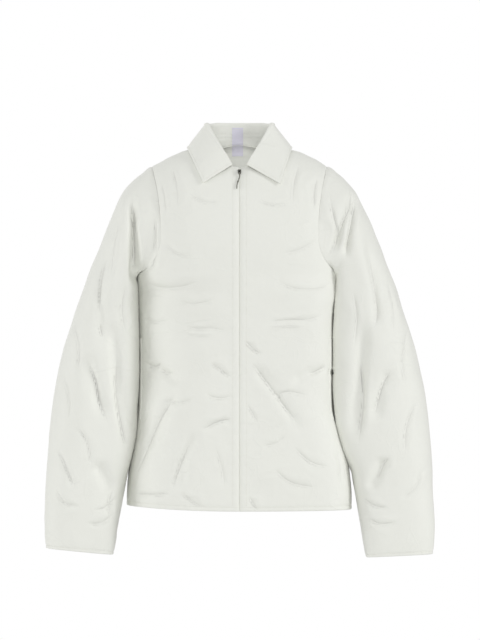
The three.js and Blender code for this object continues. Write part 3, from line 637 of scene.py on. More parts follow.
def wall_faces(outside, inside, tube):
    """The quads of a closed wall between two grids of point numbers."""

    def quads(a):
        return np.stack([a[:-1, :-1], a[:-1, 1:], a[1:, 1:], a[1:, :-1]], axis=-1).reshape(-1, 4)

    def strip(a, b):
        return np.stack([a[:-1], b[:-1], b[1:], a[1:]], axis=-1)

    faces = [quads(outside), quads(inside)[:, ::-1]]
    faces += [strip(outside[0], inside[0]), strip(inside[-1], outside[-1])]
    if not tube:
        faces += [strip(inside[:, 0], outside[:, 0]), strip(outside[:, -1], inside[:, -1])]
    return np.concatenate(faces)


def volume_of(vertices, faces):
    a, b, c, d = (vertices[faces[:, k]] for k in range(4))
    return np.sum(a * np.cross(b, c)) + np.sum(a * np.cross(c, d))


def cloth_object(name, outer, inner, tube=False, creases=None):
    """A closed wall between two grids. Its UV map measures the cloth in metres, and its
    attribute holds how far each point is from a crease and how deep that one is."""
    rows, columns = outer.shape[:2]
    index = np.arange(rows * columns).reshape(rows, columns)
    laid = outer
    if tube:
        index = np.concatenate([index, index[:, :1]], axis=1)
        laid = np.concatenate([outer, outer[:, :1]], axis=1)
    faces = wall_faces(index, index + rows * columns, tube)
    flat = np.stack([arc(laid, 1), arc(laid, 0)], axis=-1).reshape(-1, 2)
    places = np.arange(len(flat)).reshape(laid.shape[:2])
    corners = wall_faces(places, places + len(flat), tube)
    vertices = np.concatenate([outer.reshape(-1, 3), inner.reshape(-1, 3)])
    if volume_of(vertices, faces) < 0:
        faces, corners = faces[:, ::-1], corners[:, ::-1]
    obj = new_object(name, vertices, faces.tolist())
    layer = obj.data.uv_layers.new(name="cloth")
    uvs = np.concatenate([flat, flat])[corners.ravel()] * MM
    layer.data.foreach_set("uv", uvs.ravel().astype(np.float32))
    known = np.zeros((len(vertices), 3))
    known[:, 0] = CREASE_REACH
    if creases is not None:
        known[:rows * columns, :2] = creases.reshape(-1, 2)
    layer = obj.data.attributes.new("crease", "FLOAT_VECTOR", "POINT")
    layer.data.foreach_set("vector", known.ravel().astype(np.float32))
    obj.data.set_sharp_from_angle(angle=math.radians(62))
    return obj


# Grid steps: fine near an edge or a seam, even between
FINE = np.cumsum([0, 0.5, 0.6, 0.8, 1.0, 1.3, 1.6, 2.0, 2.4])


def spaced(length, step, start, end):
    low = FINE if start else FINE[:1]
    high = length - (FINE if end else FINE[:1])[::-1]
    count = max(int(round((high[0] - low[-1]) / step)), 2) + 1
    return np.concatenate([low, np.linspace(low[-1], high[0], count)[1:-1], high])


def shares_along(line, values, step, start=True, end=True):
    length = arc(line, 0)
    return np.interp(spaced(length[-1], step, start, end), length, values)


def soft_limit(height, low, high):
    return np.where(height < 0, -low * np.tanh(-height / low), high * np.tanh(height / high))


def wall_grids(points, normals, relief, free, wall=WALL):
    """The outer and inner face of a wall, its free edges rounded over."""
    round_off = rounded_edge(free, wall / 2)[..., None]
    outer = points + normals * (relief[..., None] - round_off)
    follow = 0.45 * relief * ease(free / 24)
    inner = points + normals * (follow[..., None] - wall + round_off)
    return outer, inner


def under_collar(points):
    """1 where the collar lies on the shell, falling to 0 beside it."""
    x, y, z = np.abs(points[..., 0]), points[..., 1], points[..., 2]
    above_edge = (z + 27 + 0.516 * (x - 16)) / 1.12
    inside_end = ((z + 60) / 2.6 - (x - 76)) / 1.07
    front = np.minimum(above_edge, inside_end)
    plan = 88 * (1 - np.hypot(x / 100, (y - SHOULDER_Y) / 78))
    covered = np.where(y < SHOULDER_Y, np.maximum(front, np.where(z > -8, plan, -99)), plan)
    return ease((covered + 9) / 9)


def held_down(relief, points):
    """Nothing stands proud under the collar or behind the pull's cord."""
    by_cord = ease((20 - np.abs(points[..., 0] + 2)) / 8) * ease((points[..., 2] + 92) / 8)
    by_cord = by_cord * (points[..., 1] < 0)
    low = np.maximum(under_collar(points), by_cord)
    return np.where(relief > 0, relief * (1 - low), relief * (1 - 0.6 * low))


# Torso panels
SEAM_SINK = 0.5
PANEL_STEP = 2.9
BACK_STEP = PANEL_STEP * 1.12
PARTED = 1.7


def across_at(top_x, edge_x):
    spread = (top_x - edge_x) / (SHOULDER_X - edge_x)
    return np.arcsin(spread ** (TORSO_POWER / 2)) * 2 / np.pi


def half_columns(face, side, edge_x, step):
    neck_end = across_at(NECK_X, edge_x)
    inner = np.linspace(0, neck_end, 300)
    outer = np.linspace(neck_end, 1, 500)
    line_in = torso_point(face, side, inner, 0.45, edge_x)
    line_out = torso_point(face, side, outer, 0.45, edge_x)
    return np.concatenate([
        shares_along(line_in, inner, step, edge_x > 0, False),
        shares_along(line_out, outer, step, False, True)[1:],
    ])


def panel_rows(face, step):
    low, high = np.linspace(0, 1, 400), np.linspace(1, 2, 400)
    return np.concatenate([
        shares_along(torso_point(face, 1, 0.5, low, 1.0), low, step, True, False),
        shares_along(torso_point(face, 1, 0.5, high, 1.0), high, step, False, True)[1:],
    ])


def torso_base(face, signed, ups, edge_x):
    """The panel's surface with its large folds, and its normals."""
    across, side = np.abs(signed)[None, :], np.where(signed < 0, -1, 1)[None, :]
    points = torso_point(face, side, across, ups[:, None], edge_x)
    normals = grid_normals(points, False)
    below = (ups[:, None] <= 1) & (across > 0.999)
    normals[below] = np.stack(np.broadcast_arrays(side, 0, 0), -1).repeat(len(ups), 0)[below]
    by_side = ease(5 * (1 - across)) * ease(8 * (2 - ups[:, None]))
    fade = by_side * ease((np.abs(points[..., 0]) - 22) / 25)
    points = points - normals * (fade * fold_depth("torso", face, points))[..., None]
    seam = below | ((ups[:, None] == 2) & (np.abs(points[..., 0]) >= NECK_X - 0.5))
    points[..., 1] += np.where(seam, face * SEAM_GAP, 0)
    return points, normals


def common_relief(points, face, fade):
    """The creases and the padding, flattened where the sleeve leans on the body's side."""
    troughs, lines = crease_height(face, points)
    relief = troughs * fade + padding_height(points)
    lines[..., 1] *= fade
    x, z = points[..., 0], points[..., 2]
    beside = ease((np.abs(x) - half_width(np.sign(x), z) + 16) / 10) * ease((-226 - z) / 10)
    return np.where(relief > 0, relief * (1 - beside), relief), lines


def by_armhole(distance, z):
    """0 at the armhole seam, so that both sides run into each other, rising to 1 beside it."""
    return 1 - (1 - ease(distance / 26)) * ease((z - UNDERARM_Z) / 12)


def panel_relief(points, face, shares, to_side, up):
    """Creases, padding and seams of a front or the back, and the lines of its creases."""
    x, z = points[..., 0], points[..., 2]
    seed = 0 if face < 0 else 1
    relief, lines = common_relief(points, face, ease(9 * (1 - shares))[None, :])
    relief *= by_armhole(to_side, z)
    relief += seam_height(to_side, z, 21 + seed, sink=SEAM_SINK)
    relief += stitched_height(up, HEM_STITCH, x, 31 + seed)
    relief += 0.6 * ripple(x, 10, 33 + seed) * np.exp(-up / 18)
    on_shoulder = ease((np.abs(x) - NECK_X) / 10)
    relief += seam_height(up[-1:] - up, x, 41 + seed, sink=0.25) * on_shoulder
    return soft_limit(relief, *PANEL_LIMITS), lines


def front_panel(side):
    shares = half_columns(-1, side, FRONT_EDGE_X, PANEL_STEP)
    ups = panel_rows(-1, PANEL_STEP)
    level = torso_point(-1, side, 0, ups, FRONT_EDGE_X)[..., 2]
    edge_x = (FRONT_EDGE_X + PARTED * ease((level + 58) / 15))[:, None]
    points, normals = torso_base(-1, side * shares, ups, edge_x)
    across, up, height = arc(points, 1), arc(points, 0), points[..., 2]
    relief, lines = panel_relief(points, -1, shares, across[:, -1:] - across, up)
    roll = 0.3 * bell(across - 9, 4.5) - 1.8 * bell(across, 5.5)
    roll += 0.3 * ripple(height, 9, 51 + side) * bell(across - 9, 9)
    relief = relief * ease(across / 26) + roll
    relief += stitched_height(across, ZIP_STITCH, height, 61, sink=0.25)
    relief = held_down(relief, points)
    outer, inner = wall_grids(points, normals, relief, np.minimum(across, up))
    return {"outer": outer, "inner": inner, "normals": normals, "shares": shares,
            "up": up, "across": across, "creases": lines}


def back_panel():
    half = half_columns(1, 1, 0.0, BACK_STEP)
    signed = np.concatenate([-half[:0:-1], half])
    ups = panel_rows(1, BACK_STEP)
    points, normals = torso_base(1, signed, ups, 0.0)
    across, up = arc(points, 1), arc(points, 0)
    to_side = np.minimum(across, across[:, -1:] - across)
    relief, lines = panel_relief(points, 1, np.abs(signed), to_side, up)
    outer, inner = wall_grids(points, normals, held_down(relief, points), up)
    # The neck facing inside stands off the lining by its own thickness
    facing = ease((points[..., 2] + 8 + 0.0016 * points[..., 0] ** 2) / 3)
    facing *= ease((96 - np.abs(points[..., 0])) / 4)
    inner = inner - normals * (0.7 * facing)[..., None]
    return {"outer": outer, "inner": inner, "normals": normals, "up": up, "creases": lines}


# Sleeves
SLEEVE_STEP = 3.1
SLEEVE_HALF_COLUMNS = 88


def sleeve_panel(side):
    def halves(low, high):
        angles = np.linspace(low, high, 900)
        line = sleeve_point(side, np.full_like(angles, 6), angles)
        return np.interp(np.linspace(0, 1, SLEEVE_HALF_COLUMNS + 1)[:-1] * arc(line, 0)[-1],
                         arc(line, 0), angles)

    around = np.concatenate([halves(0, np.pi), halves(np.pi, 2 * np.pi)])
    values = np.linspace(0, LAST_RING, 600)
    line = sleeve_point(side, values, np.full_like(values, np.pi / 2))
    rings = shares_along(line, values, SLEEVE_STEP)
    angle = around[None, :]
    points = sleeve_point(side, rings[:, None], angle)
    normals = grid_normals(points, True)
    face = np.where(np.sin(angle) >= 0, -1, 1)
    seen = ease(2.2 * np.abs(np.sin(angle)))
    fade = ease(rings[:, None] / 2) * ease((LAST_RING - rings[:, None]) / 1.5) * seen
    points = points - normals * (fade * fold_depth("sleeve", face, points))[..., None]
    along = arc(points, 0)
    to_cuff = along[-1:] - along
    closed = arc(np.concatenate([points, points[:, :1]], axis=1), 1)
    to_seam = np.abs(closed[:, :-1] - closed[:, SLEEVE_HALF_COLUMNS, None])
    turn = angle * 95 + 0 * along
    troughs, lines = crease_height(face, points)
    shown = seen * ease(along / 14)
    lines[..., 1] *= shown
    relief = troughs * shown + padding_height(points) * ease(along / 26)
    relief += seam_height(along, turn, 23 + side, sink=SEAM_SINK, reach=24, pucker=0.7)
    relief += seam_height(to_seam, along, 26 + side, reach=16)
    relief += stitched_height(to_cuff, CUFF_STITCH, turn * 0.5, 35 + side)
    relief += 1.1 * ripple(turn * 0.5, 12, 37 + side) * bell(to_cuff - 12, 24)
    # Its head is flattened where it takes up the line of the shoulder
    relief -= 2.0 * bell(rings[:, None] - 0.75, 0.6) * ease(2 * np.cos(angle) - 0.6)
    relief = soft_limit(relief, *SLEEVE_LIMITS)
    gap = np.abs(points[..., 0]) - beside_body(side, points[..., 1], points[..., 2])
    leaning = ease((14 - gap) / 12) * ease((-226 - points[..., 2]) / 10)
    leaning *= ease((points[..., 2] - BODY_CLEARED_Z) / 20)
    relief = np.where(relief > 0, relief * (1 - leaning), relief)
    outer, inner = wall_grids(points, normals, relief, to_cuff)
    return {"outer": outer, "inner": inner, "normals": normals, "to_cuff": to_cuff,
            "creases": lines}


# Collar: a stand, a fold at its top and a fall that ends in two points
COLLAR_WALL = 3
COLLAR_END = math.radians(168)
ROLL_HEIGHT = 53
ROLL_RADIUS = 2.5
COLLAR_POINT = {-1: (68.3, -64.2), 1: (76.9, -65.8)}
COLLAR_SHOULDER = (100, 2)
FOOT_GAP = 0.3
COLLAR_LIFT = 3.2
STAND_ROWS = 18
ROLL_ROWS = 11


def neck_seam(angle):
    behind = angle <= np.pi / 2
    turned = np.where(behind, angle, np.pi - angle)
    return np.where(behind[..., None], neck_point(1, turned), neck_point(-1, turned))


def roll_point(angle):
    x = 64 * np.sin(angle) ** 0.95
    out = x - 14
    front = -25 + 1.25 * out + 0.0078 * out * out - 4 * ease((24 - x) / 10)
    behind = ease((1.75 - angle) / 0.35)
    top = ROLL_HEIGHT - 2.4 * ease((angle - 0.5) / 0.7)
    z = mix(np.minimum(front, top), top, behind)
    return stack(x, -13 + 79 * np.cos(angle) - 8 * ease((angle - 2.2) / 0.7), z)


def collar_edge_point(side, angle):
    shoulder = 1.5
    point_x, point_z = COLLAR_POINT[side]
    turn = np.minimum(angle / shoulder, 1) * np.pi / 2
    x = COLLAR_SHOULDER[0] * np.sin(turn)
    y = SHOULDER_Y + 74 * np.cos(turn)
    on_back = np.where(y < SHOULDER_Y, top_z(-1, x, y), top_z(1, x, y))
    behind = stack(x, y + 2 * np.cos(turn), on_back + COLLAR_LIFT)
    share = (np.maximum(angle - shoulder, 0) / (COLLAR_END - shoulder)) ** 1.35
    x = mix(COLLAR_SHOULDER[0], point_x, share)
    z = mix(COLLAR_SHOULDER[1] - 0.6, point_z, share)
    y = torso_y(-1, x, z) - COLLAR_LIFT * share - 0.6
    before = stack(x, y, z + COLLAR_LIFT * (1 - share))
    return np.where((angle <= shoulder)[..., None], behind, before)


def collar_middle(side, angle):
    """The middle of the collar's cloth, from the neck seam over the fold to the free edge."""
    seam, roll, edge = neck_seam(angle), roll_point(angle), collar_edge_point(side, angle)
    x, y, z = seam[..., 0], seam[..., 1], seam[..., 2]
    slope = np.where(angle <= np.pi / 2, torso_y(1, x, z - 1) - torso_y(1, x, z - 2),
                     torso_y(-1, x, z - 2) - torso_y(-1, x, z - 1))
    outside = unit(stack(x, y - SHOULDER_Y, 0)) - stack(0, 0, slope)
    seam -= (WALL / 2) * unit(outside)
    seam[..., 2] += FOOT_GAP
    outward = unit(stack(roll[..., 0], roll[..., 1] + 13, 0))
    down = mix(1, 0.75, ease((angle - 2) / 0.8))
    radius = (ROLL_RADIUS * down)[..., None]
    drop = stack(0, 0, 4 * down**3)
    foot = roll - outward * radius - drop
    start = roll + outward * radius - drop
    rows = [mix(seam, foot, share) for share in np.linspace(0, 1, STAND_ROWS)]
    for turn in np.linspace(0, np.pi, ROLL_ROWS + 2)[1:-1]:
        rise = stack(0, 0, radius[..., 0] * (np.sin(turn) - 1))
        rows.append(roll - outward * radius * np.cos(turn) + rise)
    shares = spaced(1, 0.035, False, False)
    shares = np.concatenate([shares[:-2], [0.965, 0.978, 0.988, 0.995, 1.0]])
    for share in shares:
        rows.append(mix(start, edge, share) + outward * 0.4 * np.sin(share * np.pi))
    return np.stack(rows)


def collar_grids():
    values = np.linspace(0, COLLAR_END, 900)
    line = 0.5 * (collar_edge_point(1, values) + roll_point(values))
    half = shares_along(line, values, 2.6, False, True)
    mirrored = collar_middle(-1, half[:0:-1])
    mirrored[..., 0] *= -1
    middle = np.concatenate([mirrored, collar_middle(1, half)], axis=1)
    shown = -unit(np.cross(np.gradient(middle, axis=0), np.gradient(middle, axis=1)))
    across = arc(middle, 1)
    to_end = np.minimum(across, across[:, -1:] - across)
    up = arc(middle, 0)
    to_edge = up[-1:] - up
    free = np.minimum(to_end, to_edge)
    relief = 0.55 * noise(middle, 38, 71) + 0.35 * noise(middle, 16, 72)
    relief += 0.35 * ripple(across, 9, 73) * bell(to_edge, 14)
    relief += 0.35 * ripple(up, 9, 74) * bell(to_end, 12)
    relief += stitched_height(free, COLLAR_STITCH, across + up, 75, sink=0.5)
    stand = ease((30 - up) / 6) * ease(up / 4)
    for height in NECK_LINES:
        relief -= 0.9 * stand * bell(middle[..., 2] - height, 1.3)
    relief = soft_limit(relief, *COLLAR_LIMITS)
    half_wall = COLLAR_WALL / 2
    round_off = rounded_edge(free, half_wall)[..., None]
    outer = middle + shown * (half_wall + relief[..., None] - round_off)
    inner = middle - shown * (half_wall - round_off)
    return outer, inner, shown


def line_on(grid, distance, at, axis):
    """The line on a grid at a distance from one of its edges, across its columns or rows."""
    lines = np.moveaxis(grid, axis, 0)
    away = np.moveaxis(distance, axis, 0)
    count = lines.shape[1]
    result = np.empty((count, 3))
    for i in range(count):
        order = np.argsort(away[:, i], kind="stable")
        for k in range(3):
            result[i, k] = np.interp(at, away[order, i], lines[order, i, k])
    return result


def resampled(line, values):
    """Values along a line, where its stitches lie."""
    length = arc(line, 0)
    steps = np.arange(STITCH_PITCH / 2, length[-1], STITCH_PITCH)
    return np.stack([np.interp(steps, length, values[:, k]) for k in range(3)], axis=-1)


def stitches(name, rows_of):
    """Short threads lying end to end along lines. Each line has its points and its normals."""
    turns = np.arange(5) * 2 * np.pi / 5
    thread = np.array([
        (along * STITCH_LENGTH / 2, width * np.cos(turn) * STITCH_HALF,
         width * np.sin(turn) * STITCH_HALF)
        for along, width in ((-1, 0.25), (-0.72, 0.95), (0.72, 0.95), (1, 0.25)) for turn in turns
    ])
    shapes = []
    for line, normals in rows_of:
        places, ups = resampled(line, line), unit(resampled(line, normals))
        tangents = unit(np.gradient(places, axis=0))
        sides = unit(np.cross(ups, tangents))
        ups = np.cross(tangents, sides)
        frames = np.stack([tangents, sides, ups], axis=1)[:, None]
        laid = np.sum(thread[None, :, :, None] * frames, axis=2)
        shapes.append(laid + places[:, None] + STITCH_PROUD * ups[:, None])
    shapes = np.concatenate(shapes)
    faces = repeated(tube_faces(4, 5), len(shapes), len(thread))
    return new_object(name, shapes.reshape(-1, 3), faces, outward=True)


# Camera: level with the middle of the jacket, square to its front
CAMERA_Z = -323
CAMERA_BACK = 12000
FOCAL = 354.0

camera_data = bpy.data.cameras.new("camera")
camera_data.lens = FOCAL
camera_data.sensor_width = 36
camera = bpy.data.objects.new("camera", camera_data)
camera.location = (MM, -CAMERA_BACK * MM, CAMERA_Z * MM)
camera.rotation_euler = (math.pi / 2, 0, 0)
bpy.context.scene.collection.objects.link(camera)
bpy.context.scene.camera = camera


# Materials
def node_group(name, output, **numbers):
    """A shader group from a vector, and numbers, to one value. Returns its tree and sockets."""
    group = bpy.data.node_groups.new(name, "ShaderNodeTree")
    group.interface.new_socket("Vector", in_out="INPUT", socket_type="NodeSocketVector")
    for label, value in numbers.items():
        socket = group.interface.new_socket(label, in_out="INPUT", socket_type="NodeSocketFloat")
        socket.default_value = value
    group.interface.new_socket(output, in_out="OUTPUT", socket_type="NodeSocketFloat")
    into, out = group.nodes.new("NodeGroupInput"), group.nodes.new("NodeGroupOutput")
    return group, into.outputs, out.inputs[output]


def add_node(tree, kind, inputs, **settings):
    """A shader node with its settings, and with values or links in its inputs."""
    node = tree.nodes.new("ShaderNode" + kind)
    for label, value in settings.items():
        setattr(node, label, value)
    for label, value in inputs.items():
        if isinstance(value, bpy.types.NodeSocket):
            tree.links.new(value, node.inputs[label])
        elif value is not None:
            node.inputs[label].default_value = value
    return node


def math_node(tree, operation, a, b=0.5, c=None):
    return add_node(tree, "Math", {0: a, 1: b, 2: c}, operation=operation).outputs[0]


def noise_node(tree, vector, scale, detail=2.0, roughness=0.5, distortion=0.0):
    return add_node(tree, "TexNoise", {
        "Vector": vector, "Scale": scale, "Detail": detail, "Roughness": roughness,
        "Distortion": distortion}).outputs["Fac"]


def mapped(tree, vector, **settings):
    inputs = {"Vector": vector, **{label.title(): value for label, value in settings.items()}}
    return add_node(tree, "Mapping", inputs).outputs["Vector"]


def split_vector(tree, vector):
    return add_node(tree, "SeparateXYZ", {0: vector}).outputs


def make_weave():
    """Threads over and under, from a vector in metres and the number of threads to the metre."""
    group, into, height = node_group("weave", "Height", Threads=2000.0)
    scaled = add_node(group, "VectorMath", {0: into["Vector"]}, operation="SCALE")
    group.links.new(into["Threads"], scaled.inputs["Scale"])
    split = split_vector(group, scaled.outputs[0])
    warp, weft = (math_node(group, "SINE", math_node(group, "MULTIPLY", split[axis], math.pi))
                  for axis in (0, 1))
    over = math_node(group, "MULTIPLY", warp, weft)
    group.links.new(math_node(group, "MULTIPLY_ADD", over, 0.5, 0.5), height)
    return group


def make_crinkle():
    """Sparse fine wrinkles in a thin shell, over soft small dents."""
    group, into, height = node_group("crinkle", "Height")
    total = math_node(group, "MULTIPLY", noise_node(group, into["Vector"], 58, 1.0, 0.4, 0.2), 0.35)
    for scale, share, squeeze in ((17, 0.6, (1, 1, 1.4)), (33, 0.3, (1.4, 1, 0.8))):
        laid = mapped(group, into["Vector"], scale=squeeze)
        level = noise_node(group, laid, scale, 1.0, 0.4, 0.6)
        off = math_node(group, "ABSOLUTE", math_node(group, "SUBTRACT", level, 0.5))
        line = math_node(group, "EXPONENT", math_node(group, "MULTIPLY", off, -26.0))
        where = noise_node(group, laid, scale * 0.42, 1.0, 0.5)
        there = math_node(group, "MULTIPLY", math_node(group, "SUBTRACT", where, 0.46), 5.0)
        there.node.use_clamp = True
        part = math_node(group, "MULTIPLY", line, there)
        total = math_node(group, "MULTIPLY_ADD", part, share, total)
    group.links.new(total, height)
    return group


def make_crease():
    """A sharp line down the middle of a crease, from its distance and its depth, both in
    millimetres."""
    group, into, height = node_group("crease", "Height")
    split = split_vector(group, into["Vector"])
    off = math_node(group, "ABSOLUTE", split[0])
    line = math_node(group, "EXPONENT", math_node(group, "MULTIPLY", off, -0.55))
    depth = math_node(group, "MULTIPLY", line, split[1])
    group.links.new(math_node(group, "MULTIPLY", depth, -1.0), height)
    return group


def make_mottle():
    """Slow uneven patches from 0 to 1, for colour and gloss."""
    group, into, mask = node_group("mottle", "Mask")
    broad = noise_node(group, into["Vector"], 9, 3.0, 0.55)
    fine = noise_node(group, into["Vector"], 120, 2.0, 0.5)
    group.links.new(
        math_node(group, "MULTIPLY_ADD", fine, 0.3, math_node(group, "MULTIPLY", broad, 0.7)), mask)
    return group


WEAVE, CRINKLE, CREASE, MOTTLE = make_weave(), make_crinkle(), make_crease(), make_mottle()


def place_group(tree, group, vector, **values):
    return add_node(tree, "Group", {"Vector": vector, **values}, node_tree=group).outputs[0]


def linear(red, green, blue):
    """A colour given as it looks on screen, from 0 to 255."""
    def one(value):
        value /= 255
        return value / 12.92 if value <= 0.04045 else ((value + 0.055) / 1.055) ** 2.4
    return (one(red), one(green), one(blue), 1.0)


def material(name, **values):
    mat = bpy.data.materials.new(name)
    mat.use_nodes = True
    shader = mat.node_tree.nodes["Principled BSDF"]
    for label, value in values.items():
        shader.inputs[label.replace("_", " ").title().replace("Ior", "IOR")].default_value = value
    return mat, mat.node_tree, shader


def coloured(tree, shader, mask, low, high):
    ramp = tree.nodes.new("ShaderNodeMix")
    ramp.data_type = "RGBA"
    tree.links.new(mask, ramp.inputs["Factor"])
    ramp.inputs["A"].default_value = low
    ramp.inputs["B"].default_value = high
    tree.links.new(ramp.outputs["Result"], shader.inputs["Base Color"])


def ranged(tree, mask, low, high):
    return add_node(tree, "MapRange", {
        "Value": mask, "From Min": 0.3, "From Max": 0.7, "To Min": low, "To Max": high,
    }).outputs["Result"]


def roughened(tree, shader, mask, low, high):
    tree.links.new(ranged(tree, mask, low, high), shader.inputs["Roughness"])


def bumped(tree, shader, layers):
    """Bump layers, each a height, its strength and its distance in metres."""
    normal = None
    for height, strength, distance in layers:
        normal = add_node(tree, "Bump", {
            "Strength": strength, "Distance": distance, "Height": height, "Normal": normal,
        }).outputs["Normal"]
    tree.links.new(normal, shader.inputs["Normal"])


def coordinates(tree, kind):
    return tree.nodes.new("ShaderNodeTexCoord").outputs[kind]


def make_shell(name, low, high):
    """Thin tightly woven nylon with a satin gloss, wrinkled over its wadding."""
    mat, tree, shader = material(
        name, specular_ior_level=0.42, sheen_weight=0.12, sheen_roughness=0.45)
    place, cloth = coordinates(tree, "Object"), coordinates(tree, "UV")
    mottle = place_group(tree, MOTTLE, place)
    coloured(tree, shader, mottle, low, high)
    roughened(tree, shader, mottle, 0.6, 0.7)
    known = add_node(tree, "Attribute", {}, attribute_name="crease")
    bumped(tree, shader, [
        (place_group(tree, CREASE, known.outputs["Vector"]), 1.0, 0.0009),
        (place_group(tree, CRINKLE, place), 1.0, 0.0009),
        (place_group(tree, WEAVE, cloth, Threads=1800.0), 0.2, 0.0001),
    ])
    return mat


def make_woven(name, low, high, threads, roughness, depth=0.00025):
    """A narrow woven tape or ribbon."""
    mat, tree, shader = material(name, specular_ior_level=0.3, sheen_weight=0.2)
    place, cloth = coordinates(tree, "Object"), coordinates(tree, "UV")
    mottle = place_group(tree, MOTTLE, place)
    coloured(tree, shader, mottle, low, high)
    roughened(tree, shader, mottle, roughness - 0.05, roughness + 0.05)
    bumped(tree, shader, [(place_group(tree, WEAVE, cloth, Threads=threads), 0.6, depth)])
    return mat


def make_hard(name, low, high, metallic, roughness, grain=900):
    """Cast or moulded pieces, with a fine grain and a little wear."""
    mat, tree, shader = material(name, metallic=metallic)
    place = coordinates(tree, "Object")
    wear = noise_node(tree, place, 420, 3.0, 0.6)
    coloured(tree, shader, ranged(tree, wear, 0.0, 1.0), low, high)
    roughened(tree, shader, wear, roughness - 0.08, roughness + 0.1)
    bumped(tree, shader, [(noise_node(tree, place, grain, 2.0), 0.25, 0.0001)])
    return mat


SHELL = make_shell("shell nylon", linear(235, 236, 229), linear(239, 240, 234))
RIBBON = make_woven("label ribbon", linear(220, 218, 233), linear(228, 226, 240), 2600.0, 0.55, 0.00012)
TAPE = make_woven("zip tape", linear(222, 223, 214), linear(231, 232, 224), 1300.0, 0.85)
THREAD = make_woven("thread", linear(222, 222, 212), linear(234, 234, 226), 5200.0, 0.7, 0.00008)
TEETH = make_hard("zip teeth", linear(206, 207, 198), linear(224, 225, 217), 0.0, 0.42)
BLACK_METAL = make_hard("black lacquered metal", linear(30, 30, 26), linear(52, 52, 44), 0.55, 0.38)
GREY_METAL = make_hard("grey metal", linear(118, 118, 110), linear(168, 168, 160), 0.9, 0.36)


def make_cord_material():
    """A braided cord: two sets of strands that cross slantwise, by the map round and along it."""
    mat, tree, shader = material("braided cord", specular_ior_level=0.2, sheen_weight=0.25)
    cloth = coordinates(tree, "UV")
    slanted = mapped(tree, cloth, rotation=(0, 0, math.radians(45)))
    weave = place_group(tree, WEAVE, slanted, Threads=2400.0)
    # The colour follows the weave's height: painted shade, darker in the hollows between the strands
    # and lighter on their tops.
    coloured(tree, shader, weave, linear(92, 92, 82), linear(150, 150, 140))
    roughened(tree, shader, weave, 0.8, 0.9)
    bumped(tree, shader, [(weave, 0.8, 0.0003)])
    return mat


CORD = make_cord_material()


def dress(obj, mat, slot, *replaces, body=JACKET):
    obj.data.materials.clear()
    obj.data.materials.append(mat)
    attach(obj, body)
    if replaces:
        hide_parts(*replaces)
    return obj


# The cord tied to the pull. It hangs from the pull's end and lies down the front.
ZIP_DEPTH = WALL + 0.4
PIN = [value / MM for value in frame["joints"][0]["pos_m"]]
PIN_OUT = 4.4
LEAN = math.radians(-35.7)
PULL_LENGTH = 8
CORD_RADIUS = 1
CORD_LENGTH = 34
CORD_DRIFT = -5
CORD_HANG = 0.86
CORD_ROWS = 29
KNOT_ROW = 15

turn = Matrix.Rotation(LEAN, 4, "X")
slider_frame = Matrix.Translation(Vector(PIN) - turn @ Vector((0, -PIN_OUT, 0))) @ turn


def in_slider(x, y, z):
    return np.array(slider_frame @ Vector((x, y, z)))


def front_line(x, z):
    """Points on the front beside the zip and their normals, which lie square to the zip."""
    z = np.asarray(z, float)
    x = x + 0 * z
    y = torso_y(-1, x, z)
    slope = (torso_y(-1, x, z + 1) - torso_y(-1, x, z - 1)) / 2
    return stack(x, y, z), unit(stack(0, -1, slope))


def cord_path():
    top = in_slider(0, -PIN_OUT, -PULL_LENGTH)
    share = np.linspace(0, 1, CORD_ROWS)
    z = top[2] - share * CORD_LENGTH * CORD_HANG
    surface, normals = front_line(0.0, z)
    rest = surface + normals * (CORD_RADIUS + 1.5)
    rest[:, 0] = CORD_DRIFT * share + 0.9 * np.sin(share * 2 * np.pi)
    hanging = stack(0, top[1], z)
    return mix(rest, hanging, (1 - ease(share * 4))[:, None])


def tube_object(name, path, radii, points):
    """A closed tube along a path, with a braid's map round and along it."""
    tangents = unit(np.gradient(path, axis=0))
    sides = unit(np.cross(tangents, [0.0, 1.0, 0.0]))
    ups = np.cross(sides, tangents)
    turns = np.arange(points) * 2 * np.pi / points
    ring = sides[:, None] * np.cos(turns)[:, None] + ups[:, None] * np.sin(turns)[:, None]
    vertices = path[:, None] + ring * radii[:, None, None]
    faces = [face[::-1] for face in tube_faces(len(path), points)]
    obj = new_object(name, vertices.reshape(-1, 3), faces, outward=True)
    layer = obj.data.uv_layers.new(name="cloth")
    length = arc(path, 0)
    for loop, uv in zip(obj.data.loops, layer.data):
        row, column = divmod(loop.vertex_index, points)
        uv.uv = (column / points * 2 * math.pi * CORD_RADIUS * MM, length[row] * MM)
    return obj


route = cord_path()
tapered = CORD_RADIUS * np.minimum(1, 0.72 + 0.28 * ease(np.linspace(0, 1, CORD_ROWS) * 14))
tapered[-3:] = CORD_RADIUS * np.array([1.0, 0.86, 0.5])
pull_cord = dress(tube_object("cord", route, tapered, 14), CORD, "cordage", "pull_cord", body=PULLER)


def knot_object(centre):
    """An overhand knot: a short tube wound three times through itself."""
    t = np.linspace(0, 2 * np.pi, 49)
    x = np.sin(t) + 2 * np.sin(2 * t)
    y = -np.sin(3 * t)
    z = np.cos(t) - 2 * np.cos(2 * t)
    return tube_object("cord_knot", stack(x, y, z) * 0.42 + centre, np.full(49, 0.62), 10)


knot = dress(knot_object(route[KNOT_ROW]), CORD, "cordage", body=PULLER)

# The shell
front_right, front_left, back = front_panel(-1), front_panel(1), back_panel()
sleeve_right, sleeve_left = sleeve_panel(-1), sleeve_panel(1)
collar_outer, collar_inner, collar_normals = collar_grids()

for name, panel, tube in (
    ("front_right", front_right, False), ("front_left", front_left, False), ("back", back, False),
    ("sleeve_right", sleeve_right, True), ("sleeve_left", sleeve_left, True),
):
    obj = cloth_object(name + "_cloth", panel["outer"], panel["inner"], tube, panel["creases"])
    dress(obj, SHELL, "shell", name)
obj = cloth_object("collar_cloth", collar_outer, collar_inner)
dress(obj, SHELL, "shell", "collar")


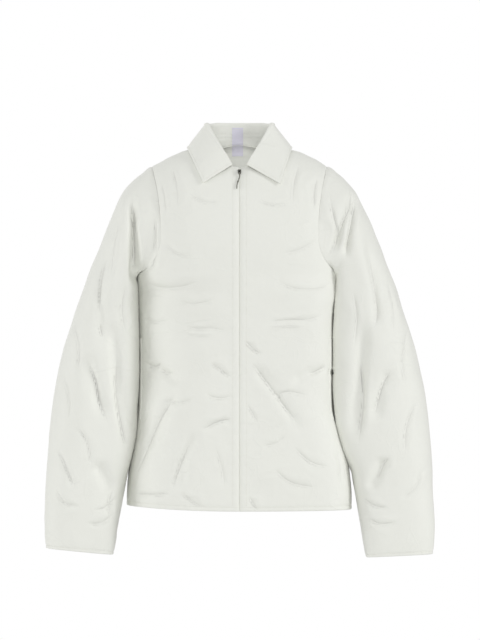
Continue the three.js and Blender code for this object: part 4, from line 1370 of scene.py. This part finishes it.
# Zip: two tapes with coil teeth behind the gap between the fronts, a box at the foot, and the
# slider with its pull
TAPE_IN = 3.1
TAPE_OPEN = 5.8
TAPE_OUT = 17
TAPE_WALL = 1
ZIP_LOW = TORSO["z"][0] + 4
ZIP_TOP = -33.5
BOX_TOP = TORSO["z"][0] + 16
TOOTH_PITCH = 1.5


def tape_edge(z):
    """How far a tape's inner edge is from the middle: wider beside the slider and the box."""
    apart = np.maximum(ease((z + 55) / 7), ease((BOX_TOP + 2 - z) / 4))
    return mix(TAPE_IN, TAPE_OPEN, apart)


for side, name in ((-1, "right"), (1, "left")):
    z = np.linspace(ZIP_LOW, ZIP_TOP, 210)[:, None]
    across = np.linspace(0, 1, 8)[None, :]
    surface, normals = front_line(side * mix(tape_edge(z), TAPE_OUT, across), z)
    inner_edge = bell(across * (TAPE_OUT - TAPE_IN), 1.6)
    outer = surface - normals * (ZIP_DEPTH + 0.02 - 0.25 * inner_edge)[..., None]
    inner = surface - normals * (ZIP_DEPTH + TAPE_WALL + 0 * z)[..., None]
    obj = cloth_object(f"zip_tape_{name}_cloth", outer, inner)
    dress(obj, TAPE, "zip_tape", f"zip_tape_{name}")


def zip_coil():
    """Both rows of teeth. Each tooth is one turn of the coil, bent round its head."""
    bend = np.array([(3.0, 2.1), (1.3, 2.35), (-0.3, 2.1), (-0.62, 1.4), (-0.3, 0.7), (1.3, 0.35),
                     (3.0, 0.6)])
    section = np.array([(1, 0), (0, 1), (-1, 0), (0, -1)]) * 0.36
    along = unit(np.gradient(bend, axis=0))
    across = np.stack([-along[:, 1], along[:, 0]], axis=-1)
    shape = bend[:, None] + across[:, None] * section[None, :, :1]
    rise = np.broadcast_to(section[None, :, 1] * 1.15, shape.shape[:2])
    teeth = []
    heights = np.arange(BOX_TOP + 0.8, ZIP_TOP - 0.5, TOOTH_PITCH)
    for side in (-1, 1):
        for z in heights + (TOOTH_PITCH / 2 if side > 0 else 0):
            if abs(z + 44) < 5.5:
                continue
            surface, normal = front_line(0.0, z)
            upward = np.cross([1.0, 0, 0], normal)
            upward *= np.sign(upward[2])
            tooth = surface - normal * (ZIP_DEPTH + shape[..., 1, None]) + upward * rise[..., None]
            tooth[..., 0] = side * (shape[..., 0] + tape_edge(z) - TAPE_IN)
            teeth.append(tooth.reshape(-1, 3))
    faces = repeated(tube_faces(len(bend), len(section)), len(teeth), len(teeth[0]))
    return new_object("zip_coil", np.concatenate(teeth), faces, outward=True)


dress(zip_coil(), TEETH, "zip_teeth", "zip_chain")


# Hard pieces are shaped at the origin with Blender's own tools, and then put in place
def begin(name):
    obj = bpy.context.active_object
    obj.name = name
    obj.data.name = name
    return obj


def choose(*objects):
    bpy.ops.object.select_all(action="DESELECT")
    for obj in objects:
        obj.select_set(True)
    bpy.context.view_layer.objects.active = objects[0]


def edit_all(*steps):
    """Runs tools on the whole mesh of the active object, each with its settings."""
    bpy.ops.object.mode_set(mode="EDIT")
    bpy.ops.mesh.select_all(action="SELECT")
    for tool, settings in steps:
        tool(**settings)
    bpy.ops.object.mode_set(mode="OBJECT")


def add_block(name, size, centre, cuts=0):
    bpy.ops.mesh.primitive_cube_add(size=1)
    obj = begin(name)
    if cuts:
        edit_all((bpy.ops.mesh.subdivide, {"number_cuts": cuts}))
    obj.data.transform(Matrix.Translation(Vector(centre)) @ Matrix.Diagonal((*size, 1)))
    return obj


def soften(obj, width, segments=3):
    choose(obj)
    bevel = obj.modifiers.new("soft edges", "BEVEL")
    bevel.width = width
    bevel.segments = segments
    bevel.limit_method = "ANGLE"
    bpy.ops.object.modifier_apply(modifier=bevel.name)
    bpy.ops.object.shade_smooth_by_angle(angle=math.radians(40))
    return obj


def join(objects):
    choose(*objects)
    bpy.ops.object.join()
    return objects[0]


def put(obj, matrix):
    """Takes a piece shaped in millimetres to its place, in metres."""
    obj.data.transform(Matrix.Scale(MM, 4) @ matrix)
    obj.matrix_world = Matrix.Identity(4)
    return obj


def zip_box():
    height = BOX_TOP - ZIP_LOW
    box = add_block("zip_box_body", (9.2, 3.8, height), (0, 0, 0), 1)
    for vertex in box.data.vertices:
        if vertex.co.z > height / 3:
            vertex.co.x *= 0.88
    soften(box, 0.7)
    rib = soften(add_block("rib", (6.4, 0.8, 1.2), (0, -2.0, -2.6)), 0.3)
    rib_above = soften(add_block("rib_above", (6.0, 0.8, 1.2), (0, -2.0, 0.4)), 0.3)
    slot_wall = soften(add_block("slot_wall", (1.0, 0.9, 5.0), (0, -1.9, 3.2)), 0.3)
    join([box, rib, rib_above, slot_wall])
    surface, normal = front_line(0.0, (BOX_TOP + ZIP_LOW) / 2)
    centre = surface - normal * (ZIP_DEPTH + 1.9)
    lean = math.atan2(-normal[2], -normal[1])
    return put(box, Matrix.Translation(Vector(centre)) @ Matrix.Rotation(lean, 4, "X"))


dress(zip_box(), TEETH, "zip_teeth", "zip_box")


def slider_body():
    front = add_block("slider_body", (6.2, 1.3, 9.0), (0, -1.15, 0), 3)
    for vertex in front.data.vertices:
        narrow = 1 - 0.3 * max(0.0, -vertex.co.z / 4.5) ** 2
        vertex.co.x *= narrow
        if vertex.co.y < -1.5:
            vertex.co.y -= 0.35 * (1 - (vertex.co.x / 3.1) ** 2)
    soften(front, 0.45)
    rear = soften(add_block("rear", (8.4, 1.3, 9.0), (0, 7.2, 0), 1), 0.5)
    neck = soften(add_block("neck", (1.6, 7.6, 3.4), (0, 3.2, 2.4)), 0.4)
    foot = add_block("foot", (1.5, 1.7, 4.6), (0, -2.2, 0.1), 1)
    for vertex in foot.data.vertices:
        if vertex.co.y < -2.5:
            vertex.co.z = 0.1 + (vertex.co.z - 0.1) * 0.72
    soften(foot, 0.35)
    bpy.ops.mesh.primitive_torus_add(
        major_radius=1.68, minor_radius=0.5, major_segments=32, minor_segments=12,
        rotation=(0, math.pi / 2, 0))
    eye = begin("eye")
    eye.data.transform(Matrix.Translation((0, -PIN_OUT, 0)) @ eye.matrix_world)
    eye.matrix_world = Matrix.Identity(4)
    bpy.ops.object.shade_smooth()
    return put(join([front, rear, neck, foot, eye]), slider_frame)


dress(slider_body(), BLACK_METAL, "dark_metal", "zip_slider")


def pull_frame():
    """A flat metal pull with a window that hooks through the slider's eye."""
    bpy.ops.mesh.primitive_plane_add(size=1)
    pull = begin("pull_frame")
    edit_all((bpy.ops.mesh.inset, {"thickness": 0.2}), (bpy.ops.mesh.delete, {"type": "FACE"}))
    for vertex in pull.data.vertices:
        x, z = vertex.co.x, vertex.co.y
        outer = abs(x) > 0.45
        wide = (2.3 if z > 0 else 1.85) if outer else 1.1
        high = (0.65 if z > 0 else -PULL_LENGTH) if outer else (-0.65 if z > 0 else -4.6)
        vertex.co = (math.copysign(wide, x), -PIN_OUT, high)
    wall = pull.modifiers.new("thickness", "SOLIDIFY")
    wall.thickness = 1.3
    wall.offset = 0
    bpy.context.view_layer.objects.active = pull
    bpy.ops.object.modifier_apply(modifier=wall.name)
    soften(pull, 0.34)
    edit_all((bpy.ops.mesh.normals_make_consistent, {"inside": False}))
    return put(pull, slider_frame)


dress(pull_frame(), GREY_METAL, "grey_metal", "pull_tab", body=PULLER)

# Pocket welts, standing in the fronts just before the side seams
WELT_TOP, WELT_BOTTOM = -358, -512
WELT_SHARE, WELT_HALF = 0.75, 0.025


def on_panel(panel, z, share, key="outer"):
    """Points of a panel at some heights and at one share across."""
    at = np.interp(share, panel["shares"], np.arange(len(panel["shares"])))
    low = min(int(at), len(panel["shares"]) - 2)
    heights = mix(panel["outer"][:, low], panel["outer"][:, low + 1], at - low)[:, 2]
    line = mix(panel[key][:, low], panel[key][:, low + 1], at - low)
    return np.stack([np.interp(z, heights, line[:, k]) for k in range(3)], axis=-1)


def pocket_welt(panel, name):
    neck_end = across_at(NECK_X, FRONT_EDGE_X)
    z = WELT_BOTTOM + spaced(WELT_TOP - WELT_BOTTOM, 3.0, True, True)
    spread = np.linspace(-1, 1, 13)
    shares = mix(neck_end, 1, WELT_SHARE + WELT_HALF * spread)
    base = np.stack([on_panel(panel, z, share) for share in shares], axis=1)
    normals = unit(np.stack([on_panel(panel, z, share, "normals") for share in shares], axis=1))
    across, up = arc(base, 1), arc(base, 0)
    free = np.minimum(np.minimum(across, across[:, -1:] - across), np.minimum(up, up[-1:] - up))
    lift = 1.1 - rounded_edge(free, 1.1) + 0.25 * ripple(z, 9, 81)[:, None]
    lift -= 0.4 * bell(free - 3.2, 0.9)
    outer = base + normals * lift[..., None]
    inner = base - normals * 0.6
    return cloth_object(name, outer, inner)


for name, panel in (("pocket_welt_right", front_right), ("pocket_welt_left", front_left)):
    welt = dress(pocket_welt(panel, name + "_cloth"), SHELL, "shell", name)

# The blank label inside the neck, over the seam between the collar and the back
LABEL_LEFT, LABEL_RIGHT, LABEL_LOW = -14, 7, -4.5


def label_line(x):
    z = np.linspace(LABEL_LOW, 9, 4)
    y = torso_y(1, x, z)
    slope = torso_y(1, x, z + 0.5) - torso_y(1, x, z - 0.5)
    normals = unit(stack(0, 1, -slope))
    low = stack(x, y, z) - normals * (WALL + 1.5)
    angle = np.array([math.asin(abs(x) / NECK_X)])
    middle = collar_middle(1, angle)[:STAND_ROWS, 0]
    rows = []
    for share in (0.0, 0.25, 0.45, 0.65, 0.9):
        place = middle[0] + (middle[-1] - middle[0]) * share
        clear = 0.75 + 1.4 * (1 - share) ** 6
        rows.append((x, place[1] - COLLAR_WALL / 2 - clear, place[2]))
    return smooth_line(np.concatenate([low, rows]), 40)


def neck_label():
    across = np.linspace(0, 1, 15)
    grid = np.stack([label_line(mix(LABEL_LEFT, LABEL_RIGHT, share)) for share in across], axis=1)
    normals = grid_normals(grid, False)
    normals *= np.sign(-normals[..., 1:2])
    up = arc(grid, 0)
    lift = 0.5 * ease(1 - up / 12) + 0.2 * np.sin(across * 7)[None, :] * ease(1 - up / 20)
    edge = np.minimum(across, 1 - across)[None, :] * (LABEL_RIGHT - LABEL_LEFT)
    lift = lift + 0.12 * bell(edge, 0.8)
    outer = grid + normals * lift[..., None]
    return cloth_object("neck_label_ribbon", outer, outer - normals * 0.5), outer, normals


label, label_face, label_normals = neck_label()
dress(label, RIBBON, "ribbon", "neck_label")


# Stitching
def edge_line(panel, distance, at, axis):
    line = line_on(panel["outer"], panel[distance], at, axis)
    return line, unit(line_on(panel["normals"], panel[distance], at, axis))


def cut(line, normals, keep):
    return line[keep], normals[keep]


hem_lines = [edge_line(panel, "up", HEM_STITCH, 0) for panel in (front_right, front_left, back)]
dress(stitches("hem_stitching", hem_lines), THREAD, "shell")
for name, panel in (("right", sleeve_right), ("left", sleeve_left)):
    line, normals = edge_line(panel, "to_cuff", CUFF_STITCH, 0)
    line, normals = (np.concatenate([rows, rows[:1]]) for rows in (line, normals))
    dress(stitches(f"cuff_stitching_{name}", [(line, normals)]), THREAD, "shell")
zip_lines = []
for panel in (front_right, front_left):
    line, normals = edge_line(panel, "across", ZIP_STITCH, 1)
    zip_lines.append(cut(line, normals, (line[:, 2] < -40) & (line[:, 2] > TORSO["z"][0] + 8)))
dress(stitches("zip_stitching", zip_lines), THREAD, "shell")

collar_up = arc(collar_outer, 0)
collar_across = arc(collar_outer, 1)
collar_sides = {"outer": collar_outer, "normals": collar_normals,
                "to_edge": collar_up[-1:] - collar_up, "across": collar_across,
                "to_end": collar_across[:, -1:] - collar_across}
line, normals = edge_line(collar_sides, "to_edge", COLLAR_STITCH, 0)
inside = (collar_across[-1] > COLLAR_STITCH) & (collar_sides["to_end"][-1] > COLLAR_STITCH)
collar_lines = [cut(line, normals, inside)]
for end in ("across", "to_end"):
    line, normals = edge_line(collar_sides, end, COLLAR_STITCH, 1)
    below_roll = np.arange(len(line)) > STAND_ROWS + ROLL_ROWS + 1
    fall = (collar_sides["to_edge"][:, 0] > COLLAR_STITCH) & below_roll
    collar_lines.append(cut(line, normals, fall))
dress(stitches("collar_stitching", collar_lines), THREAD, "shell")
top = len(label_face) - 3
dress(stitches("label_stitching", [(label_face[top], label_normals[top])]), THREAD, "ribbon")


# Floor and light
FLOOR_Z = -1450
FLOOR_HALF = 2900


def make_floor():
    corners = [(-FLOOR_HALF, -FLOOR_HALF, FLOOR_Z), (FLOOR_HALF, -FLOOR_HALF, FLOOR_Z),
               (FLOOR_HALF, FLOOR_HALF, FLOOR_Z), (-FLOOR_HALF, FLOOR_HALF, FLOOR_Z)]
    floor = new_object("studio_floor", corners, [(0, 1, 2, 3)], smooth=False)
    mat, tree, shader = material("pale studio floor", roughness=0.9, specular_ior_level=0.1)
    grain = noise_node(tree, coordinates(tree, "Object"), 3.0, 3.0)
    coloured(tree, shader, grain, linear(246, 246, 244), linear(250, 250, 249))
    floor.data.materials.append(mat)


make_floor()


def set_world(strength):
    """White behind the jacket, and soft even light from all round."""
    world = bpy.data.worlds.new("studio")
    bpy.context.scene.world = world
    world.use_nodes = True
    tree = world.node_tree
    tree.nodes.clear()
    seen, lit = (tree.nodes.new("ShaderNodeBackground") for _ in range(2))
    seen.inputs["Color"].default_value = (1, 1, 1, 1)
    lit.inputs["Color"].default_value = (1.0, 1.0, 0.995, 1)
    lit.inputs["Strength"].default_value = strength
    path = tree.nodes.new("ShaderNodeLightPath")
    blend = tree.nodes.new("ShaderNodeMixShader")
    tree.links.new(path.outputs["Is Camera Ray"], blend.inputs["Fac"])
    tree.links.new(lit.outputs[0], blend.inputs[1])
    tree.links.new(seen.outputs[0], blend.inputs[2])
    output = tree.nodes.new("ShaderNodeOutputWorld")
    tree.links.new(blend.outputs[0], output.inputs["Surface"])


def add_lamp(name, kind, towards, strength, at=(0, 0, 0), **settings):
    light = bpy.data.lights.new(name, kind)
    light.energy = strength
    for label, value in settings.items():
        setattr(light, label, value)
    lamp = bpy.data.objects.new(name, light)
    lamp.location = [value * MM for value in at]
    lamp.rotation_euler = Vector(towards).to_track_quat("-Z", "Y").to_euler()
    bpy.context.scene.collection.objects.link(lamp)
    return lamp


set_world(0.48)
for name, towards, strength, spread in (
    ("key", (-1, 0.38, -0.45), 1.0, 18), ("front", (0.02, 1, -0.2), 0.72, 20),
    ("side_fill", (1, 0.2, -0.2), 0.8, 30), ("back_fill", (0.35, -0.8, -0.4), 0.5, 60),
):
    add_lamp(name, "SUN", towards, strength, angle=math.radians(spread))

# A small light in the neck, aimed at the inside of the back
inside_light = add_lamp(
    "inside_neck", "SPOT", (0, 1, 0.12), 0.3, at=(0, -45, -38),
    spot_size=math.radians(46), spot_blend=0.6, shadow_soft_size=0.02)
inside_light.visible_camera = False
bpy.context.scene.view_settings.view_transform = "Standard"
